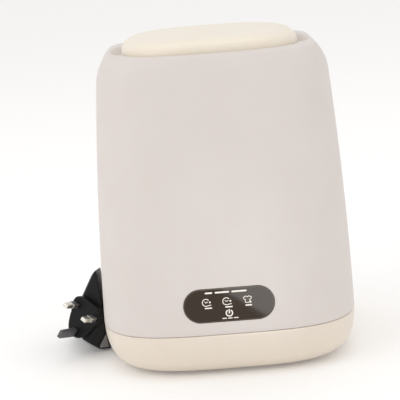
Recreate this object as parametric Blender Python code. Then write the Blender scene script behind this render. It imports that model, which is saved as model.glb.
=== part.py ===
"""Portable mini washer: a tub with a belt-driven pulsator in a rounded square housing, a lift-off lid,
a touch panel, and a plug-in adapter on its own low-voltage cord.

Front faces -Y, +Z is up, and the origin is the middle of the footprint on the surface it stands on.
Sizes below are in millimetres and MM turns them into metres.
"""

import math

import bmesh
import bpy
from mathutils import Matrix, Vector

MM = 0.001

# ---------------------------------------------------------------- driving dimensions
WIDTH = 220.0
DEPTH = 228.0
HEIGHT = 280.0
GAP = 0.3  # between two pieces that touch
RUNNING_CLEARANCE = 0.06  # radial, round a shaft that turns in a bearing

# Housing: its outline is named by how far it stands in from the widest outline.
WALL = 2.6
BASE_WALL = 2.5
WIDEST_HEIGHT = 40.0
BASE_CURVE_IN = 26.0
BASE_CURVE_POWER = 2.47
SEAM_HEIGHT = 38.0
RIM_HEIGHT = HEIGHT - 13.0
TAPER_IN = 4.6
BULGE_IN = 8.7
SHOULDER_START = 22.0  # below the rim
SHOULDER_RISE = 30.6
SHOULDER_IN = 25.3
BASE_EXPONENT = 3.55
SHOULDER_EXPONENT = 4.5

# Feet and base
FOOT_RADIUS = 8.5
FOOT_HEIGHT = 2.2
BASE_BOTTOM = FOOT_HEIGHT + GAP
FOOT_INSET = 49.0
SERVICE_OPENING_IN = 48.0
SERVICE_LAP = 6.0
COVER_THICKNESS = 2.0
TONGUE_HEIGHT = 5.0
TONGUE_WALL = 2.1
POST_RADIUS = 6.5
SCREW_RADIUS = 1.6
SCREW_HEAD_RADIUS = 3.2
SCREW_HEAD_HEIGHT = 2.4
SCREW_CLEARANCE = 0.2

# Lid and the recess that it drops into
LID_IN = 34.1
LID_EXPONENT = 3.05
LID_DOME_POWER = 7.0
LID_DOME_ROOT = 3.5
LID_WALL = 2.4
LID_EDGE_ABOVE_SEAT = 5.6
RECESS_GAP = 1.3
SEAT_DEPTH = 8.6  # below the rim
SEAT_THICKNESS = 2.4
SEAT_WIDTH = 10.2
RIM_CROWN = 0.9
RIM_EDGE_RADIUS = 2.6
SEAL_THICKNESS = 1.7
SEAL_WIDTH = 3.4
LINER_THICKNESS = 2.0
LINER_PLUG_DEPTH = 8.0
LINER_PLUG_GAP = 2.4
SCOOP_LENGTH = 84.0
SCOOP_RADIUS = 9.0
SCOOP_DEPTH = 6.4

# Tub
TUB_FLOOR = 98.0
TUB_WALL = 2.4
TUB_TOP_IN = 27.6
TUB_FLANGE_WIDTH = 6.1
TUB_BOTTOM_IN = 34.0
TUB_CORNER = 7.0
GASKET_THICKNESS = 2.1
DRAIN_X = 48.0
DRAIN_Y = 36.0
DRAIN_BORE = 6.0
DRAIN_PIPE_WALL = 2.0
DRAIN_HEIGHT = 56.0
DRAIN_BEND = 22.0
DRAIN_FLANGE_RADIUS = 9.6
FITTING_FLANGE = 1.2
FITTING_SINK = 1.3  # depth of the flat round the inlet and the drain
SPOUT_LENGTH = 14.0

# Drive
DECK_THICKNESS = 3.0
BOSS_RADIUS = 5.0
BOSS_HEIGHT = 9.0
SHAFT_RADIUS = 4.0
BEARING_RADIUS = 11.0
BEARING_WIDTH = 7.0
BEARING_HOUSING_WALL = 3.4
BEARING_FLANGE_RADIUS = 24.0
BEARING_FLANGE = 3.0
SEAL_CLEARANCE = 0.35
HUB_HOLE_RADIUS = 9.3
PULSATOR_RADIUS = 50.0
PULSATOR_HEIGHT = 11.0
PULSATOR_HUB_RADIUS = 12.0
VANE_COUNT = 4
VANE_THICKNESS = 5.0
VANE_HEIGHT = 12.0
PULLEY_RADIUS = 38.0
MOTOR_PULLEY_RADIUS = 8.0
GROOVE_DEPTH = 2.6
PULLEY_BOTTOM = 24.0
PULLEY_WIDTH = 8.0
BELT_WIDTH = 5.0
BELT_THICKNESS = 2.2
BELT_CLEARANCE = 0.4
MOTOR_Y = 54.0
MOTOR_RADIUS = 18.0
MOTOR_LENGTH = 46.0
MOTOR_SHAFT_RADIUS = 1.6
MOTOR_SCREW_SPACING = 25.0

# Front panel
PANEL_LENGTH = 75.4
PANEL_HEIGHT = 28.4
PANEL_X = -1.2
PANEL_CENTRE_HEIGHT = 63.4
PANEL_THICKNESS = 1.3
PANEL_LEDGE = 3.0
BOARD_THICKNESS = 1.6

# Power inlet and its cord
INLET_X = -45.0
INLET_HEIGHT = 56.0
INLET_RADIUS = 5.6
INLET_FLANGE_RADIUS = 7.6
INLET_BORE = 2.9
INLET_BORE_DEPTH = 10.0
INLET_LENGTH = 15.0
CORD_DIAMETER = 4.0
CORD_LIFT = 0.3  # of the cord's underside above the surface
PLUG_BARREL_RADIUS = 2.7
PLUG_BARREL_BORE = 1.3
PLUG_BARREL_LENGTH = 9.0
PLUG_BODY_RADIUS = 5.2
PLUG_BODY_LENGTH = 20.0
RELIEF_LENGTH = 14.0
RELIEF_ROOT_RADIUS = 3.4
RELIEF_TIP_RADIUS = 2.5
COIL_X = -18.0
COIL_Y = 143.5
COIL_MIDDLE_RADIUS = 22.0
COIL_WIDTH = 12.0
COIL_HEIGHT = 8.0

# Adapter that stands beside the machine. The head's outline is half of it, from the middle of the side
# with two pins to the middle of the earth pin's side.
PIN_PITCH = 22.23
LINE_PIN = (6.35, 3.97, 17.7)
EARTH_PIN = (3.97, 7.92, 22.7)
HEAD_CENTRE = (-WIDTH / 2 - 21.0, -15.5, 34.5)
HEAD_NORMAL = (-0.49, -0.85, 0.2)
HEAD_TURN = 30.0  # degrees that the earth pin swings towards the left from straight down
HEAD_OUTLINE = [(0, -16.5), (8, -16.3), (13.6, -14.6), (16.2, -10.5), (16, -5), (13.8, 0), (12.4, 5.5)]
HEAD_OUTLINE += [(10.2, 12), (6.5, 17.2), (0, 19.6)]
HEAD_THICKNESS = 7.5
BRICK_FRONT = -14.0
BRICK_BACK = 46.0
BRICK_BEVEL = 1.6
# A point on each sloping side where y is 0, as (x out from the machine's left side, z), and which way it faces
BRICK_SIDES = [
    ((-1.8, 40.0), (1.0, 0.0, 0.1)),
    ((-32.6, 27.0), (-0.878, 0.045, 0.476)),
    ((-32.6, 27.0), (-0.866, -0.21, -0.5)),
    ((-12.4, 68.0), (-0.65, 0.154, 0.76)),
    ((-21.0, 9.0), (-0.57, -0.268, -0.82)),
    ((-8.5, 0.3), (0.0, -0.261, -0.963)),
    ((5.5, 4.0), (0.62, -0.7, -0.36)),
]

RING_POINTS = 40
ROUND_POINTS = 20


# ---------------------------------------------------------------- materials
def srgb(hex_colour):
    """The linear colour of an sRGB hex value."""
    values = [int(hex_colour[i : i + 2], 16) / 255 for i in (0, 2, 4)]
    return [v / 12.92 if v <= 0.04045 else ((v + 0.055) / 1.055) ** 2.4 for v in values]


def make_material(name, hex_colour, roughness, metallic=0.0):
    material = bpy.data.materials.new(name)
    material.use_nodes = True
    shader = material.node_tree.nodes["Principled BSDF"]
    shader.inputs["Base Color"].default_value = (*srgb(hex_colour), 1.0)
    shader.inputs["Roughness"].default_value = roughness
    shader.inputs["Metallic"].default_value = metallic
    return material


# ---------------------------------------------------------------- mesh helpers
def finish_object(name, mesh, material, smooth_degrees=35.0):
    mesh.shade_smooth()
    mesh.set_sharp_from_angle(angle=math.radians(smooth_degrees))
    obj = bpy.data.objects.new(name, mesh)
    if material is not None:
        mesh.materials.append(material)
    bpy.context.scene.collection.objects.link(obj)
    return obj


def mesh_of(name, shape, scale=MM):
    """A mesh from a bmesh in millimetres, its faces pointing out."""
    bmesh.ops.recalc_face_normals(shape, faces=shape.faces)
    mesh = bpy.data.meshes.new(name)
    shape.to_mesh(mesh)
    shape.free()
    mesh.transform(Matrix.Scale(scale, 4))
    return mesh


def add_loft(shape, rings, ends):
    """Skins rings of points. A ring of one point closes in a fan. ends is "capped" or "loop"."""
    rows = [[shape.verts.new(point) for point in ring] for ring in rings]
    pairs = list(zip(rows, rows[1:]))
    if ends == "loop":
        pairs.append((rows[-1], rows[0]))
    for first, second in pairs:
        count = max(len(first), len(second))
        for i in range(count):
            j = (i + 1) % count
            if len(first) == 1:
                corners = (first[0], second[j], second[i])
            elif len(second) == 1:
                corners = (first[i], first[j], second[0])
            else:
                corners = (first[i], first[j], second[j], second[i])
            shape.faces.new(corners)
    if ends == "capped":
        for row in (rows[0], rows[-1]):
            if len(row) > 2:
                shape.faces.new(row)


def loft(name, rings, material, ends="capped"):
    shape = bmesh.new()
    add_loft(shape, rings, ends)
    return finish_object(name, mesh_of(name, shape), material)


def superellipse(half_x, half_y, exponent, height, count=RING_POINTS):
    points = []
    for i in range(count):
        angle = 2 * math.pi * i / count
        c = math.cos(angle)
        s = math.sin(angle)
        x = math.copysign(abs(c) ** (2 / exponent), c) * half_x
        y = math.copysign(abs(s) ** (2 / exponent), s) * half_y
        points.append(Vector((x, y, height)))
    return points


def outline(inset, exponent, height):
    """The housing's plan outline, drawn in by inset."""
    return superellipse(WIDTH / 2 - inset, DEPTH / 2 - inset, exponent, height)


def circle(radius, height, count=ROUND_POINTS, centre=(0, 0)):
    if radius == 0:
        return [Vector((centre[0], centre[1], height))]
    step = 2 * math.pi / count
    return [
        Vector((centre[0] + radius * math.cos(step * i), centre[1] + radius * math.sin(step * i), height))
        for i in range(count)
    ]


def place(obj, position, axis=(0, 0, 1)):
    """Puts an object's origin at a position in millimetres, with its Z along axis."""
    obj.rotation_mode = "QUATERNION"
    obj.rotation_quaternion = Vector((0, 0, 1)).rotation_difference(Vector(axis))
    obj.location = Vector(position) * MM
    return obj


def turned(name, profile, material, position=(0, 0, 0), axis=(0, 0, 1), count=ROUND_POINTS, bored=False):
    """A turned piece from (radius, height) pairs. A bored one has a profile that closes on itself."""
    rings = [circle(radius, height, count) for radius, height in profile]
    obj = loft(name, rings, material, "loop" if bored else "capped")
    return place(obj, position, axis)


def hidden_tool(obj):
    obj.hide_render = True
    obj.display_type = "WIRE"
    return obj


def columns(name, centres, profile, count=12):
    """A cutter or an addition of equal turned columns, one at each (x, y)."""
    shape = bmesh.new()
    for centre in centres:
        add_loft(shape, [circle(radius, height, count, centre) for radius, height in profile], "capped")
    return hidden_tool(finish_object(name, mesh_of(name, shape), None))


def combine(obj, tool, operation="DIFFERENCE"):
    modifier = obj.modifiers.new(tool.name, "BOOLEAN")
    modifier.operation = operation
    modifier.solver = "EXACT"
    modifier.object = tool


def block(name, size, material, matrix=None, bevel=0.0):
    """A box of size (x, y, z) in millimetres, its centre where matrix puts it."""
    shape = bmesh.new()
    bmesh.ops.create_cube(shape, size=1.0, matrix=Matrix.Diagonal((*size, 1.0)))
    if bevel:
        bmesh.ops.bevel(shape, geom=shape.edges[:], offset=bevel, segments=2, affect="EDGES", profile=0.5)
    obj = finish_object(name, mesh_of(name, shape), material)
    if matrix is not None:
        obj.matrix_world = placed(matrix)
    return obj


def placed(matrix):
    """A matrix in millimetres as one in metres."""
    return Matrix.Translation(matrix.translation * MM) @ matrix.to_quaternion().to_matrix().to_4x4()


def smooth_path(points, spacing):
    """Points a spacing apart along a Catmull-Rom curve through points."""
    ends = [2 * points[0] - points[1], *points, 2 * points[-1] - points[-2]]
    fine = []
    for a, b, c, d in zip(ends, ends[1:], ends[2:], ends[3:]):
        for i in range(40):
            t = i / 40
            bend = (2 * a - 5 * b + 4 * c - d) * t**2 + (3 * b - a - 3 * c + d) * t**3
            fine.append(0.5 * (2 * b + (c - a) * t + bend))
    fine.append(points[-1].copy())
    lengths = [0.0]
    for a, b in zip(fine, fine[1:]):
        lengths.append(lengths[-1] + (b - a).length)
    count = max(2, round(lengths[-1] / spacing))
    path = []
    j = 0
    for i in range(count + 1):
        wanted = lengths[-1] * i / count
        while j < len(fine) - 2 and lengths[j + 1] < wanted:
            j += 1
        share = (wanted - lengths[j]) / max(lengths[j + 1] - lengths[j], 1e-9)
        path.append(fine[j].lerp(fine[j + 1], min(share, 1.0)))
    return path


def cord(name, points, diameter, material, spacing):
    """A bevelled poly curve along a smooth path through points, in millimetres."""
    path = smooth_path([Vector(p) for p in points], spacing)
    curve = bpy.data.curves.new(name, "CURVE")
    curve.dimensions = "3D"
    curve.bevel_depth = diameter / 2 * MM
    curve.bevel_resolution = 2
    curve.use_fill_caps = True
    spline = curve.splines.new("POLY")
    spline.points.add(len(path) - 1)
    for target, point in zip(spline.points, path):
        target.co = (*(point * MM), 1.0)
    curve.materials.append(material)
    obj = bpy.data.objects.new(name, curve)
    bpy.context.scene.collection.objects.link(obj)
    return obj


# ---------------------------------------------------------------- the housing's profile
def body_inset(height):
    """How far the outer surface stands in from the widest outline at a height."""
    if height < WIDEST_HEIGHT:
        share = (WIDEST_HEIGHT - height) / (WIDEST_HEIGHT - BASE_BOTTOM)
        return BASE_CURVE_IN * (1 - max(0.0, 1 - share**BASE_CURVE_POWER) ** (1 / BASE_CURVE_POWER))
    climb = (height - WIDEST_HEIGHT) / (RIM_HEIGHT - WIDEST_HEIGHT)
    inset = TAPER_IN * climb + BULGE_IN * climb**2
    rise = (height - (RIM_HEIGHT - SHOULDER_START)) / SHOULDER_RISE
    if rise > 0:
        inset += SHOULDER_IN * (1 - math.sqrt(1 - rise**2))
    return inset


def body_exponent(height):
    climb = min(max((height - WIDEST_HEIGHT) / (RIM_HEIGHT - WIDEST_HEIGHT), 0.0), 1.0)
    return BASE_EXPONENT + (SHOULDER_EXPONENT - BASE_EXPONENT) * climb


def body_ring(height, inward=0.0):
    return outline(body_inset(height) + inward, body_exponent(height), height)


def steps(first, last, count):
    return [first + (last - first) * i / count for i in range(count + 1)]


def rear_surface(x, height):
    """The Y of the housing's outer surface at the back."""
    inset = body_inset(height)
    exponent = body_exponent(height)
    across = abs(x) / (WIDTH / 2 - inset)
    return (DEPTH / 2 - inset) * (1 - across**exponent) ** (1 / exponent)


def fitting_face(x, height):
    """The Y of the flat that a fitting's flange sits on at the back."""
    return rear_surface(x, height) - FITTING_SINK


SEAT_HEIGHT = RIM_HEIGHT - SEAT_DEPTH
RECESS_IN = LID_IN - RECESS_GAP
MOUTH_IN = RECESS_IN + SEAT_WIDTH
DECK_BOTTOM = SEAM_HEIGHT + TONGUE_HEIGHT + GAP
DECK_TOP = DECK_BOTTOM + DECK_THICKNESS
TUB_TOP = SEAT_HEIGHT - SEAT_THICKNESS - GAP - GASKET_THICKNESS - GAP
SCREW_CENTRES = [
    (sx * (WIDTH / 2 - FOOT_INSET), sy * (DEPTH / 2 - FOOT_INSET)) for sx in (-1, 1) for sy in (-1, 1)
]


# ---------------------------------------------------------------- housing and base
def make_outer_housing(material):
    shoulder = RIM_HEIGHT - SHOULDER_START
    side = steps(SEAM_HEIGHT + GAP, shoulder, 7)[:-1]
    curve = [shoulder + SHOULDER_START * math.sin(math.radians(a)) for a in (0, 22, 42, 60, 76, 90)]
    rings = [body_ring(height) for height in side + curve]
    rim_in = body_inset(RIM_HEIGHT)
    crown = [(0.3, 0.75, 4.0), (0.62, 1.0, 3.5)]
    for share, lift, exponent in crown:
        inset = rim_in + (RECESS_IN - RIM_EDGE_RADIUS - rim_in) * share
        rings.append(outline(inset, exponent, RIM_HEIGHT + RIM_CROWN * lift))
    for degrees in (0, 45, 90):
        angle = math.radians(degrees)
        inset = RECESS_IN - RIM_EDGE_RADIUS * (1 - math.sin(angle))
        height = RIM_HEIGHT + RIM_CROWN - RIM_EDGE_RADIUS * (1 - math.cos(angle))
        rings.append(outline(inset, LID_EXPONENT, height))
    inner_in = RECESS_IN - SEAT_THICKNESS
    for inset, height in (
        (RECESS_IN, SEAT_HEIGHT),
        (MOUTH_IN, SEAT_HEIGHT),
        (MOUTH_IN, SEAT_HEIGHT - SEAT_THICKNESS),
        (inner_in, SEAT_HEIGHT - SEAT_THICKNESS),
        (inner_in, RIM_HEIGHT - SCOOP_DEPTH - WALL),
    ):
        rings.append(outline(inset, LID_EXPONENT, height))
    rings += [body_ring(height, WALL) for height in reversed(side + curve[:3])]
    housing = loft("outer_housing", rings, material, "loop")
    combine(housing, make_scoop_cutter())
    combine(housing, panel_tool("panel_pocket_cutter", GAP, -(PANEL_THICKNESS + GAP), 4.0))
    combine(housing, panel_tool("panel_window_cutter", -PANEL_LEDGE, -2.5 * WALL, 4.0))
    for name, x, height, hole, flange in (
        ("inlet_hole_cutter", INLET_X, INLET_HEIGHT, INLET_RADIUS, INLET_FLANGE_RADIUS),
        ("drain_hole_cutter", DRAIN_X, DRAIN_HEIGHT, DRAIN_BORE + DRAIN_PIPE_WALL, DRAIN_FLANGE_RADIUS),
    ):
        steps_out = [(hole + GAP, -12.0), (hole + GAP, 0.0), (flange + GAP, 0.0), (flange + GAP, 12.0)]
        cutter = turned(name, steps_out, None, (x, fitting_face(x, height), height), (0, 1, 0), 32)
        combine(housing, hidden_tool(cutter))
    return housing


def make_scoop_cutter():
    """Two long shallow hollows in the rim, one each side, for fingertips under the lid."""
    shape = bmesh.new()
    middle_in = RECESS_IN - SCOOP_RADIUS * 0.35
    for side in (-1, 1):
        x = side * (WIDTH / 2 - middle_in)
        rings = []
        for degrees in (-90, -65, -42, -20, 0, 20, 42, 65, 90):
            angle = math.radians(degrees)
            radius = SCOOP_RADIUS * math.cos(angle)
            y = SCOOP_LENGTH / 2 * math.sin(angle)
            if abs(degrees) == 90:
                rings.append([Vector((x, y, RIM_HEIGHT + RIM_CROWN))])
                continue
            ring = []
            for i in range(12):
                turn = 2 * math.pi * i / 12
                depth = SCOOP_DEPTH * math.cos(angle)
                ring.append(
                    Vector(
                        (x + radius * math.cos(turn), y, RIM_HEIGHT + RIM_CROWN + depth * math.sin(turn))
                    )
                )
            rings.append(ring)
        add_loft(shape, rings, "capped")
    return hidden_tool(finish_object("scoop_cutter", mesh_of("scoop_cutter", shape), None))


def make_base_shell(material):
    rise = WIDEST_HEIGHT - BASE_BOTTOM
    curve = [WIDEST_HEIGHT - rise * math.cos(math.radians(a)) for a in (0, 14, 28, 42, 56, 70)]
    tongue_in = WALL + GAP
    top = SEAM_HEIGHT + TONGUE_HEIGHT
    inside = tongue_in + TONGUE_WALL
    rings = [outline(SERVICE_OPENING_IN, LID_EXPONENT, BASE_BOTTOM)]
    rings += [body_ring(height) for height in curve]
    rings += [body_ring(SEAM_HEIGHT), body_ring(SEAM_HEIGHT, tongue_in)]
    rings.append(outline(tongue_in, BASE_EXPONENT, top))
    rings.append(outline(inside, BASE_EXPONENT, top))
    rings.append(outline(inside, BASE_EXPONENT, SEAM_HEIGHT - 4.0))
    floor = BASE_BOTTOM + BASE_WALL
    for height in reversed(curve[1:-1]):
        lifted = max(height, floor + 1.0)
        rings.append(outline(body_inset(height) + BASE_WALL + 0.6, BASE_EXPONENT, lifted + 0.6))
    rings.append(outline(BASE_CURVE_IN + BASE_WALL, BASE_EXPONENT, floor))
    rings.append(outline(SERVICE_OPENING_IN, LID_EXPONENT, floor))
    base = loft("base_shell", rings, material, "loop")
    post_top = DECK_BOTTOM - GAP
    posts = columns("base_post_tool", SCREW_CENTRES, [(POST_RADIUS, floor - 1.0), (POST_RADIUS, post_top)])
    combine(base, posts, "UNION")
    head = SCREW_HEAD_RADIUS + SCREW_CLEARANCE
    hole = SCREW_RADIUS + SCREW_CLEARANCE
    head_top = BASE_BOTTOM + SCREW_HEAD_HEIGHT + 2 * GAP
    holes = columns(
        "base_hole_cutter",
        SCREW_CENTRES,
        [(head, BASE_BOTTOM - 2.0), (head, head_top), (hole, head_top), (hole, post_top + 2.0)],
    )
    combine(base, holes)
    return base


def make_base_cover(material):
    neck = SERVICE_OPENING_IN + GAP
    flange = SERVICE_OPENING_IN - SERVICE_LAP
    step = BASE_BOTTOM + BASE_WALL + GAP
    rings = [outline(inset, LID_EXPONENT, height) for inset, height in (
        (neck, BASE_BOTTOM + GAP),
        (neck, step),
        (flange, step),
        (flange, step + COVER_THICKNESS),
    )]
    return loft("base_cover", rings, material)


def make_feet_and_screws(rubber, steel):
    for number, (x, y) in enumerate(SCREW_CENTRES, 1):
        foot = [(0, 0), (FOOT_RADIUS - 0.8, 0), (FOOT_RADIUS, 0.8)]
        foot += [(FOOT_RADIUS, FOOT_HEIGHT), (0, FOOT_HEIGHT)]
        turned(f"rubber_foot_{number}", foot, rubber, (x, y, 0))
        tip = DECK_TOP - BASE_BOTTOM + 5.0
        screw = [
            (0, 0),
            (SCREW_HEAD_RADIUS - 0.5, 0),
            (SCREW_HEAD_RADIUS, 0.5),
            (SCREW_HEAD_RADIUS, SCREW_HEAD_HEIGHT),
            (SCREW_RADIUS, SCREW_HEAD_HEIGHT),
            (SCREW_RADIUS, tip),
            (0, tip),
        ]
        turned(f"base_screw_{number}", screw, steel, (x, y, BASE_BOTTOM + GAP), count=12)


# ---------------------------------------------------------------- lid
def dome_height(share):
    """The lid's height at a share of its half-width."""
    edge = SEAT_HEIGHT + LID_EDGE_ABOVE_SEAT
    return edge + (HEIGHT - edge) * (1 - share**LID_DOME_POWER) ** (1 / LID_DOME_ROOT)


def make_lid(shell_material, liner_material, seal_material):
    half = WIDTH / 2 - LID_IN
    skirt = SEAT_HEIGHT + 2 * GAP
    shares = (0.12, 0.45, 0.68, 0.82, 0.9, 0.95, 0.98, 0.995, 1.0)

    def dome_ring(share, inward):
        inset = WIDTH / 2 - (half - inward) * share
        exponent = 2 + (LID_EXPONENT - 2) * share**2
        return outline(inset, exponent, dome_height(share) - inward)

    rings = [dome_ring(share, LID_WALL) for share in shares[:-1]]
    rings.append(outline(LID_IN + LID_WALL, LID_EXPONENT, skirt))
    rings.append(outline(LID_IN, LID_EXPONENT, skirt))
    rings += [dome_ring(share, 0.0) for share in reversed(shares)]
    lid = loft("lid_shell", rings, shell_material)

    plate = SEAT_HEIGHT + GAP + SEAL_THICKNESS + GAP
    plate_in = LID_IN + LID_WALL + GAP
    plug_in = MOUTH_IN + LINER_PLUG_GAP
    plug_bottom = plate - LINER_PLUG_DEPTH
    rings = [outline(inset, LID_EXPONENT, height) for inset, height in (
        (plug_in + LINER_THICKNESS + 6.0, plug_bottom + LINER_THICKNESS),
        (plug_in + LINER_THICKNESS, plug_bottom + LINER_THICKNESS),
        (plug_in + LINER_THICKNESS, plate + LINER_THICKNESS),
        (plate_in, plate + LINER_THICKNESS),
        (plate_in, plate),
        (plug_in, plate),
        (plug_in, plug_bottom),
        (plug_in + LINER_THICKNESS + 6.0, plug_bottom),
    )]
    loft("lid_liner", rings, liner_material)

    seal_in = MOUTH_IN - GAP - SEAL_WIDTH
    low = SEAT_HEIGHT + GAP
    rings = [outline(inset, LID_EXPONENT, height) for inset, height in (
        (seal_in, low + 0.5),
        (seal_in, low + SEAL_THICKNESS),
        (seal_in + SEAL_WIDTH, low + SEAL_THICKNESS),
        (seal_in + SEAL_WIDTH, low + 0.5),
        (seal_in + SEAL_WIDTH / 2, low),
    )]
    loft("lid_seal", rings, seal_material, "loop")
    return lid


# ---------------------------------------------------------------- tub and drain
def make_tub(material, gasket_material):
    flange_in = TUB_TOP_IN - TUB_FLANGE_WIDTH
    under = TUB_FLOOR - TUB_WALL
    rings = [
        circle(HUB_HOLE_RADIUS, under, RING_POINTS),
        outline(TUB_BOTTOM_IN + TUB_CORNER, 2.7, under),
        outline(TUB_BOTTOM_IN, LID_EXPONENT, under + TUB_CORNER),
        outline(TUB_TOP_IN, LID_EXPONENT, TUB_TOP - TUB_WALL),
        outline(flange_in, LID_EXPONENT, TUB_TOP - TUB_WALL),
        outline(flange_in, LID_EXPONENT, TUB_TOP),
        outline(TUB_TOP_IN + TUB_WALL, LID_EXPONENT, TUB_TOP),
        outline(TUB_BOTTOM_IN + TUB_WALL, LID_EXPONENT, under + TUB_CORNER + 0.8),
        outline(TUB_BOTTOM_IN + TUB_CORNER + 1.0, 2.7, TUB_FLOOR),
        circle(HUB_HOLE_RADIUS, TUB_FLOOR, RING_POINTS),
    ]
    tub = loft("wash_tub", rings, material, "loop")
    drain = [(DRAIN_BORE, under - 4.0), (DRAIN_BORE, TUB_FLOOR + 4.0)]
    combine(tub, columns("tub_drain_cutter", [(DRAIN_X, DRAIN_Y)], drain, ROUND_POINTS))

    low = TUB_TOP + GAP
    inner_in = TUB_TOP_IN + TUB_WALL
    rings = [outline(inset, LID_EXPONENT, height) for inset, height in (
        (flange_in, low),
        (flange_in, low + GASKET_THICKNESS),
        (inner_in, low + GASKET_THICKNESS),
        (inner_in, low),
    )]
    loft("tub_gasket", rings, gasket_material, "loop")
    return tub


def make_drain(pipe_material, plug_material):
    """The pipe from the tub's floor to the back wall, the spout there and the plug in it."""
    wall = fitting_face(DRAIN_X, DRAIN_HEIGHT)
    spout_inner = wall - SPOUT_LENGTH
    top = TUB_FLOOR - TUB_WALL - GAP
    outer = DRAIN_BORE + DRAIN_PIPE_WALL
    bend_centre = Vector((DRAIN_X, DRAIN_Y + DRAIN_BEND, DRAIN_HEIGHT + DRAIN_BEND))
    frames = [(Vector((DRAIN_X, DRAIN_Y, top)), 0.0)]
    for degrees in (0, 18, 36, 54, 72, 90):
        angle = math.radians(degrees)
        offset = Vector((0, -math.cos(angle), -math.sin(angle))) * DRAIN_BEND
        frames.append((bend_centre + offset, angle))
    frames.append((Vector((DRAIN_X, spout_inner - GAP, DRAIN_HEIGHT)), math.pi / 2))

    def pipe_ring(centre, angle, radius):
        across = Vector((1, 0, 0))
        other = Vector((0, math.cos(angle), math.sin(angle)))
        step = 2 * math.pi / ROUND_POINTS
        return [
            centre + radius * (across * math.cos(step * i) + other * math.sin(step * i))
            for i in range(ROUND_POINTS)
        ]

    rings = [pipe_ring(centre, angle, outer) for centre, angle in frames]
    rings += [pipe_ring(centre, angle, DRAIN_BORE) for centre, angle in reversed(frames)]
    loft("drain_elbow", rings, pipe_material, "loop")

    spout = [(DRAIN_BORE, 0), (outer, 0), (outer, SPOUT_LENGTH - GAP), (DRAIN_BORE, SPOUT_LENGTH - GAP)]
    turned("drain_spout", spout, pipe_material, (DRAIN_X, spout_inner, DRAIN_HEIGHT), (0, 1, 0), bored=True)

    stem = DRAIN_BORE - GAP
    plug = [
        (0, -9.0),
        (stem - 0.8, -9.0),
        (stem, -8.2),
        (stem, GAP),
        (DRAIN_FLANGE_RADIUS, GAP),
        (DRAIN_FLANGE_RADIUS, GAP + FITTING_FLANGE - 0.4),
        (DRAIN_FLANGE_RADIUS - 0.4, GAP + FITTING_FLANGE),
        (0, GAP + FITTING_FLANGE),
    ]
    turned("drain_plug", plug, plug_material, (DRAIN_X, wall, DRAIN_HEIGHT), (0, 1, 0))


# ---------------------------------------------------------------- drive
def make_pulsator(plastic, steel):
    """The ribbed disc that turns in the tub, with its screw, shaft and pulley."""
    hub_top = TUB_FLOOR + PULSATOR_HEIGHT + 1.5
    bore = SHAFT_RADIUS + GAP
    low = TUB_FLOOR + 1.5
    shaft_top = hub_top - 4.0
    profile = [
        (bore, low),
        (PULSATOR_RADIUS - 3.0, low),
        (PULSATOR_RADIUS, low + 1.5),
        (PULSATOR_RADIUS - 1.0, low + 3.2),
        (PULSATOR_RADIUS * 0.6, low + 4.6),
        (PULSATOR_HUB_RADIUS + 4.0, low + 7.0),
        (PULSATOR_HUB_RADIUS, hub_top - 1.0),
        (PULSATOR_HUB_RADIUS - 1.5, hub_top),
        (bore, hub_top),
    ]
    pulsator = turned("pulsator", profile, plastic, count=RING_POINTS, bored=True)
    shape = bmesh.new()
    length = PULSATOR_RADIUS - PULSATOR_HUB_RADIUS
    for number in range(VANE_COUNT):
        turn = Matrix.Rotation(2 * math.pi * number / VANE_COUNT, 4, "Z")
        centre = Matrix.Translation((PULSATOR_HUB_RADIUS + length / 2 - 3.0, 0, low + 1.0 + VANE_HEIGHT / 2))
        made = bmesh.ops.create_cube(
            shape, matrix=turn @ centre @ Matrix.Diagonal((length, VANE_THICKNESS, VANE_HEIGHT, 1))
        )
        for vert in made["verts"]:
            if vert.co.z > low + VANE_HEIGHT and vert.co.to_2d().length > PULSATOR_RADIUS * 0.7:
                vert.co.z -= VANE_HEIGHT * 0.62
    vanes = hidden_tool(finish_object("vane_tool", mesh_of("vane_tool", shape), None))
    combine(pulsator, vanes, "UNION")

    screw = [
        (0, shaft_top + GAP),
        (2.0, shaft_top + GAP),
        (2.0, hub_top + GAP),
        (5.4, hub_top + GAP),
        (5.0, hub_top + 2.2),
        (3.4, hub_top + 3.0),
        (0, hub_top + 3.0),
    ]
    turned("pulsator_screw", screw, steel)
    shaft_bottom = PULLEY_BOTTOM - 5.0
    shaft = [
        (0, shaft_bottom),
        (SHAFT_RADIUS - 0.5, shaft_bottom),
        (SHAFT_RADIUS, shaft_bottom + 0.5),
        (SHAFT_RADIUS, shaft_top),
        (0, shaft_top),
    ]
    turned("drive_shaft", shaft, steel, count=32)


def pulley_profile(radius, bore):
    low = PULLEY_BOTTOM
    high = PULLEY_BOTTOM + PULLEY_WIDTH
    middle = (low + high) / 2
    half = BELT_WIDTH / 2 + 0.6
    groove = radius - GROOVE_DEPTH
    return [
        (bore, low),
        (radius, low),
        (radius, middle - half),
        (groove, middle - half + 0.4),
        (groove, middle + half - 0.4),
        (radius, middle + half),
        (radius, high),
        (bore, high),
    ]


def make_pulleys(plastic, steel):
    groove = pulley_profile(PULLEY_RADIUS, SHAFT_RADIUS + GAP)
    turned("driven_pulley", groove, plastic, count=RING_POINTS, bored=True)
    nut_low = PULLEY_BOTTOM - 3.4
    nut = [
        (SHAFT_RADIUS + GAP, nut_low),
        (6.6, nut_low),
        (6.6, PULLEY_BOTTOM - GAP),
        (SHAFT_RADIUS + GAP, PULLEY_BOTTOM - GAP),
    ]
    turned("pulley_nut", nut, steel, bored=True)
    motor_bore = MOTOR_SHAFT_RADIUS + GAP
    turned(
        "motor_pulley",
        pulley_profile(MOTOR_PULLEY_RADIUS, motor_bore),
        steel,
        (0, MOTOR_Y, 0),
        bored=True,
    )


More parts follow.
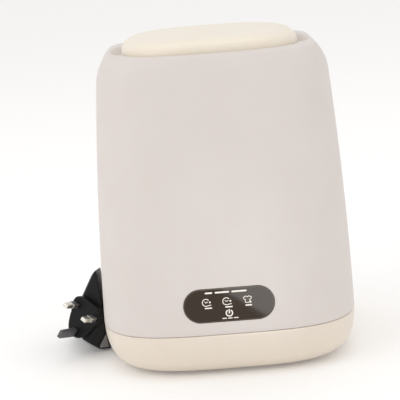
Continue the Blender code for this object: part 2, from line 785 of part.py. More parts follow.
def make_belt(material):
    """A flat belt round both pulleys, its straight runs tangent to the two arcs."""
    big = PULLEY_RADIUS - GROOVE_DEPTH + BELT_CLEARANCE
    small = MOTOR_PULLEY_RADIUS - GROOVE_DEPTH + BELT_CLEARANCE
    lean = math.asin((big - small) / MOTOR_Y)

    def belt_ring(outward, height):
        points = []
        for i in range(17):
            angle = math.pi - lean + (math.pi + 2 * lean) * i / 16
            reach = big + outward
            points.append(Vector((reach * math.cos(angle), reach * math.sin(angle), height)))
        for i in range(9):
            angle = lean + (math.pi - 2 * lean) * i / 8
            x = (small + outward) * math.cos(angle)
            points.append(Vector((x, MOTOR_Y + (small + outward) * math.sin(angle), height)))
        return points

    middle = PULLEY_BOTTOM + PULLEY_WIDTH / 2
    low = middle - BELT_WIDTH / 2
    high = middle + BELT_WIDTH / 2
    corners = [(0, low), (BELT_THICKNESS, low), (BELT_THICKNESS, high), (0, high)]
    rings = [belt_ring(outward, height) for outward, height in corners]
    loft("drive_belt", rings, material, "loop")


def make_bearings(plastic, steel, rubber):
    inner = BEARING_RADIUS + GAP
    outer = inner + BEARING_HOUSING_WALL
    low = DECK_TOP + GAP
    high = TUB_FLOOR - TUB_WALL - GAP
    profile = [
        (inner, low),
        (BEARING_FLANGE_RADIUS, low),
        (BEARING_FLANGE_RADIUS, low + BEARING_FLANGE),
        (outer, low + BEARING_FLANGE),
        (outer, high - BEARING_FLANGE),
        (BEARING_FLANGE_RADIUS, high - BEARING_FLANGE),
        (BEARING_FLANGE_RADIUS, high),
        (inner, high),
    ]
    turned("bearing_housing", profile, plastic, count=32, bored=True)
    bore = SHAFT_RADIUS + RUNNING_CLEARANCE
    for name, bottom in (("lower_bearing", low + 1.0), ("upper_bearing", high - BEARING_WIDTH - 4.0)):
        ring = [
            (bore, bottom),
            (BEARING_RADIUS, bottom),
            (BEARING_RADIUS, bottom + BEARING_WIDTH),
            (bore, bottom + BEARING_WIDTH),
        ]
        turned(name, ring, steel, count=32, bored=True)
    lip = SHAFT_RADIUS + SEAL_CLEARANCE
    edge = HUB_HOLE_RADIUS - GAP
    seal_low = TUB_FLOOR - TUB_WALL + 0.2
    seal_top = TUB_FLOOR + 0.8
    seal = [(lip, seal_low), (edge, seal_low), (edge, seal_top - 0.4)]
    seal += [(lip + 1.0, seal_top), (lip, seal_top)]
    turned("shaft_seal", seal, rubber, count=32, bored=True)


def make_motor(steel, shaft_steel):
    low = DECK_TOP + GAP
    high = low + MOTOR_LENGTH
    can = [
        (0, low + 18.0),
        (MOTOR_SHAFT_RADIUS + GAP, low + 18.0),
        (MOTOR_SHAFT_RADIUS + GAP, low),
        (MOTOR_RADIUS, low),
        (MOTOR_RADIUS, high - 2.0),
        (MOTOR_RADIUS - 2.0, high),
        (0, high),
    ]
    motor = turned("motor_can", can, steel, (0, MOTOR_Y, 0), count=32)
    half = MOTOR_SCREW_SPACING / 2
    centres = [(-half, MOTOR_Y), (half, MOTOR_Y)]
    hole = SCREW_RADIUS + SCREW_CLEARANCE
    combine(motor, columns("motor_hole_cutter", centres, [(hole, low - 4.0), (hole, low + 6.0)]))
    for number, (x, y) in enumerate(centres, 1):
        head_low = DECK_BOTTOM - GAP - SCREW_HEAD_HEIGHT
        screw = [
            (0, 0),
            (SCREW_HEAD_RADIUS, 0),
            (SCREW_HEAD_RADIUS, SCREW_HEAD_HEIGHT),
            (SCREW_RADIUS, SCREW_HEAD_HEIGHT),
            (SCREW_RADIUS, low + 5.0 - head_low),
            (0, low + 5.0 - head_low),
        ]
        turned(f"motor_screw_{number}", screw, shaft_steel, (x, y, head_low), count=12)
    shaft_low = PULLEY_BOTTOM - 1.0
    shaft = [
        (0, shaft_low),
        (MOTOR_SHAFT_RADIUS, shaft_low),
        (MOTOR_SHAFT_RADIUS, low + 17.0),
        (0, low + 17.0),
    ]
    turned("motor_shaft", shaft, shaft_steel, (0, MOTOR_Y, 0), count=12)


def make_deck(material):
    inset = WALL + 2 * GAP
    deck = loft(
        "motor_deck",
        [outline(inset, BASE_EXPONENT, DECK_BOTTOM), outline(inset, BASE_EXPONENT, DECK_TOP)],
        material,
    )
    boss = [(BOSS_RADIUS, DECK_BOTTOM + 1.0), (BOSS_RADIUS, DECK_TOP + BOSS_HEIGHT)]
    combine(deck, columns("deck_boss_tool", SCREW_CENTRES, boss), "UNION")
    low = DECK_BOTTOM - 3.0
    high = DECK_TOP + 3.0
    screw = SCREW_RADIUS + SCREW_CLEARANCE
    blind = DECK_TOP + BOSS_HEIGHT - 2.0
    combine(deck, columns("deck_boss_cutter", SCREW_CENTRES, [(screw, low), (screw, blind)]))
    half = MOTOR_SCREW_SPACING / 2
    screws = [(-half, MOTOR_Y), (half, MOTOR_Y)]
    combine(deck, columns("deck_screw_cutter", screws, [(screw, low), (screw, high)]))
    shaft = SHAFT_RADIUS + 1.5
    combine(deck, columns("deck_shaft_cutter", [(0, 0)], [(shaft, low), (shaft, high)]))
    motor = MOTOR_SHAFT_RADIUS + 2.4
    combine(deck, columns("deck_motor_cutter", [(0, MOTOR_Y)], [(motor, low), (motor, high)]))


# ---------------------------------------------------------------- touch panel and electronics
def panel_frame():
    """A frame on the front surface: X across, Y up it and Z out of it."""
    half = PANEL_HEIGHT / 2
    lean = (body_inset(PANEL_CENTRE_HEIGHT + half) - body_inset(PANEL_CENTRE_HEIGHT - half)) / PANEL_HEIGHT
    up = Vector((0, lean, 1)).normalized()
    out = Vector((1, 0, 0)).cross(up)
    face = -(DEPTH / 2 - body_inset(PANEL_CENTRE_HEIGHT)) + 0.2
    frame = Matrix((Vector((1, 0, 0)), up, out)).transposed().to_4x4()
    return Matrix.Translation((PANEL_X, face, PANEL_CENTRE_HEIGHT)) @ frame


def stadium(length, height, z, count=12):
    radius = height / 2
    middle = length / 2 - radius
    points = []
    for side, start in ((1, -90), (-1, 90)):
        for i in range(count + 1):
            angle = math.radians(start + 180 * i / count)
            points.append(Vector((side * middle + radius * math.cos(angle), radius * math.sin(angle), z)))
    return points


def panel_piece(name, outward, low, high, material):
    """A stadium plate between two depths of the panel's frame, wider than the panel by outward."""
    length = PANEL_LENGTH + 2 * outward
    height = PANEL_HEIGHT + 2 * outward
    obj = loft(name, [stadium(length, height, low), stadium(length, height, high)], material)
    obj.matrix_world = placed(panel_frame())
    return obj


def panel_tool(name, outward, low, high):
    return hidden_tool(panel_piece(name, outward, low, high, None))


def make_panel(glass, board):
    panel_piece("touch_panel", 0.0, -PANEL_THICKNESS, 0.0, glass)
    back = -(PANEL_THICKNESS + GAP)
    panel_piece("touch_board", -(PANEL_LEDGE + GAP), back - BOARD_THICKNESS, back, board)


def make_electronics(board, lead):
    height = 36.0
    middle = DECK_TOP + 1.0 + height / 2
    x = -62.0
    pcb = block("control_board", (BOARD_THICKNESS, 56.0, height), board, Matrix.Translation((x, 0, middle)))
    shape = bmesh.new()
    components = [
        (-16.0, 6.0, (14.0, 12.0, 12.0)),
        (8.0, -6.0, (10.0, 18.0, 14.0)),
        (20.0, 9.0, (8.0, 9.0, 9.0)),
    ]
    for y, z, size in components:
        centre = Matrix.Translation((x + size[0] / 2 - 0.5, y, middle + z))
        bmesh.ops.create_cube(shape, matrix=centre @ Matrix.Diagonal((*size, 1)))
    parts = hidden_tool(finish_object("board_parts_tool", mesh_of("board_parts_tool", shape), None))
    combine(pcb, parts, "UNION")
    face = -(DEPTH / 2 - WALL - 5.0)
    left = x - BOARD_THICKNESS / 2 - 1.6
    panel_route = [(-20, face, 62), (-44, face + 10, 66), (-66, -70, 68), (left, -40, 66), (left, -24, 64)]
    inlet_route = [
        (INLET_X, fitting_face(INLET_X, INLET_HEIGHT) - INLET_LENGTH - 2.0, INLET_HEIGHT),
        (-52, 78, 56),
        (-66, 50, 58),
        (left, 22, 62),
    ]
    motor_route = [(-MOTOR_RADIUS - 2.0, MOTOR_Y, 84), (-36, 44, 82), (-50, 32, 78), (x + 3.0, 26, 72)]
    routes = {"panel_lead": panel_route, "inlet_lead": inlet_route, "motor_lead": motor_route}
    for name, route in routes.items():
        cord(name, route, 2.4, lead, 8.0)


# ---------------------------------------------------------------- inlet, plug and cord
def make_inlet(plastic, steel):
    wall = fitting_face(INLET_X, INLET_HEIGHT)
    position = (INLET_X, wall, INLET_HEIGHT)
    out = GAP + FITTING_FLANGE
    pin = PLUG_BARREL_BORE - GAP
    deep = out - INLET_BORE_DEPTH
    socket = [
        (0, out - INLET_LENGTH),
        (INLET_RADIUS, out - INLET_LENGTH),
        (INLET_RADIUS, GAP),
        (INLET_FLANGE_RADIUS, GAP),
        (INLET_FLANGE_RADIUS, out),
        (INLET_BORE, out),
        (INLET_BORE, deep),
        (pin, deep),
        (pin, out - 1.0),
        (0, out - 1.0),
    ]
    turned("dc_inlet", socket, plastic, position, (0, 1, 0))
    nut = [
        (INLET_RADIUS + GAP, -WALL - 5.0),
        (INLET_RADIUS + 3.0, -WALL - 5.0),
        (INLET_RADIUS + 3.0, -WALL - 2.0),
        (INLET_RADIUS + GAP, -WALL - 2.0),
    ]
    turned("inlet_nut", nut, steel, position, (0, 1, 0), bored=True)


def plug_tip():
    """Where the moulded plug's relief ends and the cord begins."""
    wall = fitting_face(INLET_X, INLET_HEIGHT) + GAP + FITTING_FLANGE + GAP
    return Vector((INLET_X, wall + PLUG_BODY_LENGTH + RELIEF_LENGTH, INLET_HEIGHT))


def make_plug(rubber, steel):
    start = plug_tip().y - PLUG_BODY_LENGTH - RELIEF_LENGTH
    position = (INLET_X, start, INLET_HEIGHT)
    body = [
        (0, 0),
        (PLUG_BODY_RADIUS - 0.6, 0),
        (PLUG_BODY_RADIUS, 0.6),
        (PLUG_BODY_RADIUS, PLUG_BODY_LENGTH - 2.0),
        (RELIEF_ROOT_RADIUS, PLUG_BODY_LENGTH),
        (RELIEF_TIP_RADIUS, PLUG_BODY_LENGTH + RELIEF_LENGTH),
        (0, PLUG_BODY_LENGTH + RELIEF_LENGTH),
    ]
    turned("dc_plug", body, rubber, position, (0, 1, 0))
    barrel = [
        (PLUG_BARREL_BORE, -PLUG_BARREL_LENGTH),
        (PLUG_BARREL_RADIUS, -PLUG_BARREL_LENGTH),
        (PLUG_BARREL_RADIUS, -GAP),
        (PLUG_BARREL_BORE, -GAP),
    ]
    turned("dc_plug_barrel", barrel, steel, position, (0, 1, 0), bored=True)


def make_cord(rubber):
    low = CORD_DIAMETER / 2 + CORD_LIFT
    tip = plug_tip()
    coil_outer = COIL_MIDDLE_RADIUS + COIL_WIDTH / 2
    into_coil = [
        (tip.x, tip.y + GAP, tip.z),
        (tip.x, tip.y + 6.0, tip.z),
        (tip.x, tip.y + 18.0, tip.z - 4.0),
        (tip.x + 2, tip.y + 28.0, tip.z - 17.0),
        (tip.x + 6, tip.y + 32.0, tip.z - 33.0),
        (tip.x + 11, tip.y + 31.0, tip.z - 46.0),
        (tip.x + 22, COIL_Y + coil_outer + 3.6, low + 0.8),
        (COIL_X + 2.0, COIL_Y + coil_outer + CORD_DIAMETER / 2 + GAP + 0.4, low),
    ]
    cord("cord_to_inlet", into_coil, CORD_DIAMETER, rubber, 9.0)
    relief_end = BRICK_BACK + GAP + RELIEF_LENGTH
    side = COIL_Y - coil_outer - CORD_DIAMETER / 2 - GAP - 0.4
    out_of_coil = [
        (COIL_X - 2.0, side, low),
        (COIL_X - 20.0, side + 0.4, low),
        (COIL_X - 44.0, side - 1.0, low),
        (COIL_X - 66.0, side - 7.0, low),
        (COIL_X - 84.0, side - 19.0, low + 1.0),
        (ADAPTER_EXIT[0] + 3.0, relief_end + 23.0, low + 5.0),
        (ADAPTER_EXIT[0], relief_end + 8.0, ADAPTER_EXIT[2]),
        (ADAPTER_EXIT[0], relief_end + GAP, ADAPTER_EXIT[2]),
    ]
    cord("cord_to_adapter", out_of_coil, CORD_DIAMETER, rubber, 9.0)
    inner = COIL_MIDDLE_RADIUS - COIL_WIDTH / 2
    edge = 2.0
    ring = [
        (inner, CORD_LIFT + edge),
        (inner + edge, CORD_LIFT),
        (coil_outer - edge, CORD_LIFT),
        (coil_outer, CORD_LIFT + edge),
        (coil_outer, CORD_LIFT + COIL_HEIGHT - edge),
        (coil_outer - edge, CORD_LIFT + COIL_HEIGHT),
        (inner + edge, CORD_LIFT + COIL_HEIGHT),
        (inner, CORD_LIFT + COIL_HEIGHT - edge),
    ]
    turned("cord_coil", ring, rubber, (COIL_X, COIL_Y, 0), bored=True)


# ---------------------------------------------------------------- adapter
ADAPTER_EXIT = (-WIDTH / 2 - 6.4, BRICK_BACK + GAP, 12.0)


def head_frame():
    """A frame on the plug head's face: X from live to neutral pin, Y to the earth pin, Z out of the face."""
    out = Vector(HEAD_NORMAL).normalized()
    level = Vector((0, 0, 1)).cross(out).normalized()
    up = out.cross(level)
    turn = math.radians(HEAD_TURN)
    earth = level * -math.sin(turn) - up * math.cos(turn)
    across = earth.cross(out)
    frame = Matrix((across, earth, out)).transposed().to_4x4()
    return Matrix.Translation(HEAD_CENTRE) @ frame


def make_adapter_head(plastic, brass, pin_plastic):
    frame = head_frame()
    to_pins = PIN_PITCH / 3
    half = [Vector((x, y, 0)) for x, y in HEAD_OUTLINE]
    mirrored = [Vector((-p.x, p.y, 0)) for p in reversed(half)]
    loop = smooth_path(half[:-1] + mirrored[:-1] + half[:1], 2.6)[:-1]

    def head_ring(inward, depth):
        middle = Vector((0, 1.0, 0))
        ring = []
        for point in loop:
            from_middle = point - middle
            inner = middle + from_middle * (1 - inward / from_middle.length)
            ring.append(inner + Vector((0, 0, depth)))
        return ring

    bevel = 1.2
    rings = [head_ring(0, -HEAD_THICKNESS), head_ring(0, -bevel), head_ring(bevel, 0)]
    head = loft("adapter_head", rings, plastic)
    head.matrix_world = placed(frame)
    for name, x, y, size, material in (
        ("pin_live", -PIN_PITCH / 2, -to_pins, LINE_PIN, brass),
        ("pin_neutral", PIN_PITCH / 2, -to_pins, LINE_PIN, brass),
        ("pin_earth", 0.0, 2 * to_pins, EARTH_PIN, pin_plastic),
    ):
        centre = Matrix.Translation((x, y, GAP + size[2] / 2))
        block(name, size, material, frame @ centre, 0.5)


def make_adapter_body(plastic, rubber):
    """A brick with a sloping top and foot, cut off square behind the head and flat along the machine."""
    head = head_frame()
    behind_head = head.translation - head.col[2].to_3d() * (HEAD_THICKNESS + GAP)
    shape = bmesh.new()
    whole = Matrix.Translation((-WIDTH / 2 - 20, 20, 40)) @ Matrix.Diagonal((90, 140, 120, 1))
    bmesh.ops.create_cube(shape, matrix=whole)
    planes = [((x - WIDTH / 2, 0, z), normal) for (x, z), normal in BRICK_SIDES]
    planes += [
        ((0, BRICK_FRONT, 0), (0, -1, 0)),
        ((0, BRICK_BACK, 0), (0, 1, 0)),
        ((0, 0, GAP), (0, 0, -1)),
        (tuple(behind_head), tuple(head.col[2].to_3d())),
    ]
    for point, normal in planes:
        made = bmesh.ops.bisect_plane(
            shape,
            geom=shape.verts[:] + shape.edges[:] + shape.faces[:],
            plane_co=point,
            plane_no=normal,
            clear_outer=True,
        )
        edges = [item for item in made["geom_cut"] if isinstance(item, bmesh.types.BMEdge)]
        bmesh.ops.contextual_create(shape, geom=edges)
    bmesh.ops.bevel(shape, geom=shape.edges[:], offset=BRICK_BEVEL, segments=2, affect="EDGES", profile=0.5)
    finish_object("adapter_body", mesh_of("adapter_body", shape), plastic)
    relief = [
        (0, 0),
        (RELIEF_ROOT_RADIUS + 0.6, 0),
        (RELIEF_TIP_RADIUS, RELIEF_LENGTH),
        (0, RELIEF_LENGTH),
    ]
    turned("adapter_strain_relief", relief, rubber, ADAPTER_EXIT, (0, 1, 0))


# ---------------------------------------------------------------- the whole machine
def main():
    for obj in list(bpy.data.objects):
        bpy.data.objects.remove(obj, do_unlink=True)

    housing_plastic = make_material("warm_white_abs", "E6E1DC", 0.45)
    cream_plastic = make_material("cream_abs", "F1E9DC", 0.4)
    tub_plastic = make_material("white_polypropylene", "ECEBE8", 0.35)
    structure_plastic = make_material("grey_glass_filled_nylon", "B9BBBC", 0.5)
    black_gloss = make_material("smoked_acrylic", "4B3E31", 0.08)
    black_plastic = make_material("black_polycarbonate", "1C1C1D", 0.4)
    rubber = make_material("black_pvc", "1A1A1B", 0.55)
    grey_rubber = make_material("grey_silicone", "A7A5A1", 0.6)
    steel = make_material("zinc_plated_steel", "B4B6B8", 0.35, 1.0)
    brass = make_material("nickel_plated_brass", "D8D6D0", 0.25, 1.0)
    board = make_material("green_fibreglass_board", "27573B", 0.45)
    dark_grey = make_material("dark_grey_nylon", "4A4B4D", 0.5)

    make_outer_housing(housing_plastic)
    make_base_shell(cream_plastic)
    make_base_cover(cream_plastic)
    make_feet_and_screws(grey_rubber, steel)
    make_lid(cream_plastic, tub_plastic, grey_rubber)
    make_tub(tub_plastic, grey_rubber)
    make_drain(structure_plastic, grey_rubber)
    make_deck(structure_plastic)
    make_bearings(structure_plastic, steel, rubber)
    make_pulsator(tub_plastic, steel)
    make_pulleys(structure_plastic, steel)
    make_belt(rubber)
    make_motor(steel, steel)
    make_panel(black_gloss, board)
    make_electronics(board, rubber)
    make_inlet(black_plastic, steel)
    make_plug(rubber, steel)
    make_cord(rubber)
    make_adapter_head(black_plastic, brass, dark_grey)
    make_adapter_body(black_plastic, rubber)


main()
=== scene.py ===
"""A portable mini washer: its housing, lid, touch panel, tub, drive and plug-in adapter, on a pale floor.

Sizes are in millimetres and become metres when a mesh is made; lights and the camera are placed in metres.
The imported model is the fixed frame: every piece here stands for a CAD node, or sits on one.
"""
import math

import bmesh
import bpy
from mathutils import Matrix, Quaternion, Vector


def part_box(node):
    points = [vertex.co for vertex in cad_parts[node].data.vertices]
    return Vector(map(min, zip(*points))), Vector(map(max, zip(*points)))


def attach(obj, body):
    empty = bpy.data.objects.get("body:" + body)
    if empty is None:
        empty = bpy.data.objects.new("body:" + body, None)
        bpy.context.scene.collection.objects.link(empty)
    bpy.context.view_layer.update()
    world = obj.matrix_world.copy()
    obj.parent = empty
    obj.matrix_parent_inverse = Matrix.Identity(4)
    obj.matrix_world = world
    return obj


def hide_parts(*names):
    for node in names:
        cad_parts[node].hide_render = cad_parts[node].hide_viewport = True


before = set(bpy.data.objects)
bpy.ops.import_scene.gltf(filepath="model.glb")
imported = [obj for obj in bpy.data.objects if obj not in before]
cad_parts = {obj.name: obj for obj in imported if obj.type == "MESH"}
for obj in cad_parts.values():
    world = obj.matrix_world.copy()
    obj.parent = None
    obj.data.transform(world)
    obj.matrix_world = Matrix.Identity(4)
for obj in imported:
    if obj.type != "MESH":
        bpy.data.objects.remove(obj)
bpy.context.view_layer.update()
scene = bpy.context.scene
MM = 0.001

# ---------------------------------------------------------------- sizes shared with the CAD
WIDTH = 220.0
DEPTH = 228.0
HEIGHT = 280.0
GAP = 0.3
WALL = 2.6
BASE_WALL = 2.5
WIDEST_HEIGHT = 40.0
BASE_CURVE_IN = 26.0
BASE_CURVE_POWER = 2.47
SEAM_HEIGHT = 38.0
RIM_HEIGHT = 267.0
TAPER_IN = 4.6
BULGE_IN = 8.7
SHOULDER_START = 22.0
SHOULDER_RISE = 30.6
SHOULDER_IN = 25.3
BASE_EXPONENT = 3.55
SHOULDER_EXPONENT = 4.5
BASE_BOTTOM = 2.5
SERVICE_OPENING_IN = 48.0
TONGUE_HEIGHT = 5.0
TONGUE_WALL = 2.1
LID_IN = 34.1
LID_EXPONENT = 3.05
LID_DOME_POWER = 7.0
LID_DOME_ROOT = 3.5
LID_WALL = 2.4
LID_EDGE = 264.0
RECESS_IN = 32.8
SEAT_HEIGHT = 258.4
SEAT_THICKNESS = 2.4
MOUTH_IN = 43.0
RIM_CROWN = 0.9
RIM_EDGE_RADIUS = 2.6
SCOOP_LENGTH = 84.0
SCOOP_DEPTH = 6.4
PANEL_LENGTH = 75.4
PANEL_HEIGHT = 28.4
PANEL_X = -1.2
PANEL_CENTRE_HEIGHT = 63.4
PANEL_THICKNESS = 1.3
INLET_X = -45.0
INLET_HEIGHT = 56.0
INLET_RADIUS = 4.6
INLET_FLANGE_RADIUS = 7.6
DRAIN_X = 48.0
DRAIN_HEIGHT = 56.0
DRAIN_OUTER = 8.0
DRAIN_FLANGE_RADIUS = 9.6
FITTING_FLANGE = 1.2
FITTING_SINK = 1.3
CORD_DIAMETER = 4.0
COIL_X = -18.0
COIL_Y = 143.5
COIL_OUTER = 28.0
COIL_RADIUS = 26.0
COIL_SWING = 4.7
COIL_STEP = 4.0
ADAPTER_EXIT = Vector((-116.4, 46.3, 12.0))
RELIEF_LENGTH = 14.0
PIN_PITCH = 22.23
HEAD_CENTRE = (-131.0, -15.5, 34.5)
HEAD_NORMAL = (-0.49, -0.85, 0.2)
HEAD_TURN = 30.0
LINE_PIN = (6.35, 3.97)
LINE_TIP = (5.9, 3.6)
EARTH_PIN = (3.97, 7.92)
SLEEVE_LENGTH = 9.0
LINE_PIN_LENGTH = 17.7
EARTH_PIN_LENGTH = 22.7

# ---------------------------------------------------------------- sizes that only the looks need
AROUND = 288
SHARP_ANGLE = 32.0
MERGE_DISTANCE = 0.002
EDGE_EASE = 0.7
SOFT_SCOOP_RADIUS = 11.0
SOFT_SCOOP_DEPTH = 6.6
SOFT_SCOOP_SPREAD = 3.0
SOFT_SCOOP_SHIFT = 0.4
SCOOP_SIDE_POWER = 1.0
SCOOP_END_POWER = 2.4
INK_LOW = 0.02
INK_HIGH = 0.07
PATH_SPACING = 7.5


# ---------------------------------------------------------------- camera, light and floor
def make_camera():
    """A long lens a little above the machine, tipped so that the machine leans."""
    camera = bpy.data.objects.new("studio_camera", bpy.data.cameras.new("studio_camera"))
    scene.collection.objects.link(camera)
    camera.data.lens = 136.5
    camera.data.sensor_width = 36.0
    position = Vector((-0.0248, -1.3202, 0.3930))
    aim = Vector((-0.0180, 0.0003, 0.1300))
    roll = math.radians(-4.37)
    camera.location = position
    camera.rotation_mode = "QUATERNION"
    level = (aim - position).to_track_quat("-Z", "Y")
    camera.rotation_quaternion = level @ Quaternion((0, 0, 1), roll)
    camera.data.clip_start = 0.05
    camera.data.clip_end = 50.0
    scene.camera = camera


def softbox(name, position, aim, size, watts):
    """A white panel of light that faces a point, in metres."""
    data = bpy.data.lights.new(name, "AREA")
    data.shape = "RECTANGLE"
    data.size, data.size_y = size
    data.energy = watts
    light = bpy.data.objects.new(name, data)
    scene.collection.objects.link(light)
    light.location = position
    light.rotation_mode = "QUATERNION"
    light.rotation_quaternion = (Vector(aim) - Vector(position)).to_track_quat("-Z", "Y")
    return light


# ---------------------------------------------------------------- materials
def linear(hex_colour):
    """An sRGB hex colour as linear light, with alpha."""
    channels = [int(hex_colour[i : i + 2], 16) / 255 for i in (1, 3, 5)]
    light = [c / 12.92 if c <= 0.04045 else ((c + 0.055) / 1.055) ** 2.4 for c in channels]
    return (*light, 1.0)


def add(tree, kind, settings=None, inputs=None):
    """Adds a node, sets its properties, and sets or links its inputs."""
    node = tree.nodes.new(kind)
    for name, value in (settings or {}).items():
        setattr(node, name, value)
    for name, value in (inputs or {}).items():
        if isinstance(value, bpy.types.NodeSocket):
            tree.links.new(value, node.inputs[name])
        else:
            node.inputs[name].default_value = value
    return node


def blank_material(name):
    material = bpy.data.materials.new(name)
    material.use_nodes = True
    material.node_tree.nodes.clear()
    return material, material.node_tree


def finish_material(tree, shader):
    add(tree, "ShaderNodeOutputMaterial", None, {"Surface": shader.outputs[0]})


def lit_within(weight, red, green, blue):
    """How far light goes into a plastic, in metres for each colour."""
    return {"Subsurface Weight": weight, "Subsurface Radius": (red, green, blue), "Subsurface Scale": 1.0}


def moulded(name, light, dark, rough, grain_mm, grain_depth_mm, cloud_mm=38.0, ior=1.53, **shader_values):
    """A moulded plastic or rubber: a fine spark-eroded grain, faint clouding in the colour and in the gloss.

    light and dark are the two ends of the clouding, rough the lowest and highest roughness.
    """
    material, tree = blank_material(name)
    place = add(tree, "ShaderNodeTexCoord")
    cloud = add(tree, "ShaderNodeTexNoise", None, {
        "Vector": place.outputs["Object"], "Scale": 1000.0 / cloud_mm, "Detail": 3.0, "Roughness": 0.55})
    colour = add(tree, "ShaderNodeMix", {"data_type": "RGBA"}, {
        0: cloud.outputs["Fac"], 6: linear(dark), 7: linear(light)})
    grain = add(tree, "ShaderNodeTexNoise", None, {
        "Vector": place.outputs["Object"], "Scale": 1000.0 / grain_mm, "Detail": 4.0, "Roughness": 0.6})
    gloss = add(tree, "ShaderNodeMapRange", None, {
        "Value": grain.outputs["Fac"],
        "From Min": 0.3, "From Max": 0.7, "To Min": rough[0], "To Max": rough[1]})
    relief = add(tree, "ShaderNodeBump", None, {
        "Height": grain.outputs["Fac"], "Strength": 0.35, "Distance": grain_depth_mm * MM})
    shader = add(tree, "ShaderNodeBsdfPrincipled", None, {
        "Base Color": colour.outputs[2], "Roughness": gloss.outputs[0], "Normal": relief.outputs[0],
        "IOR": ior, **shader_values})
    finish_material(tree, shader)
    return material


def turned_metal(name, light, dark, rough, line_mm, axis):
    """A turned or drawn metal: fine lines stacked along one axis, and a soft clouding in the gloss."""
    material, tree = blank_material(name)
    place = add(tree, "ShaderNodeTexCoord")
    line_length_mm = 20.0
    stretch = [1000.0 / line_length_mm] * 3
    stretch[axis] = 1000.0 / line_mm
    run = add(tree, "ShaderNodeMapping", None, {"Vector": place.outputs["Object"], "Scale": stretch})
    lines = add(tree, "ShaderNodeTexNoise", None, {
        "Vector": run.outputs[0], "Scale": 1.0, "Detail": 3.0, "Roughness": 0.6})
    colour = add(tree, "ShaderNodeMix", {"data_type": "RGBA"}, {
        0: lines.outputs["Fac"], 6: linear(dark), 7: linear(light)})
    gloss = add(tree, "ShaderNodeMapRange", None, {
        "Value": lines.outputs["Fac"],
        "From Min": 0.3, "From Max": 0.7, "To Min": rough[0], "To Max": rough[1]})
    relief = add(tree, "ShaderNodeBump", None, {
        "Height": lines.outputs["Fac"], "Strength": 0.2, "Distance": 0.02 * MM})
    shader = add(tree, "ShaderNodeBsdfPrincipled", None, {
        "Base Color": colour.outputs[2], "Roughness": gloss.outputs[0], "Normal": relief.outputs[0],
        "Metallic": 1.0})
    finish_material(tree, shader)
    return material


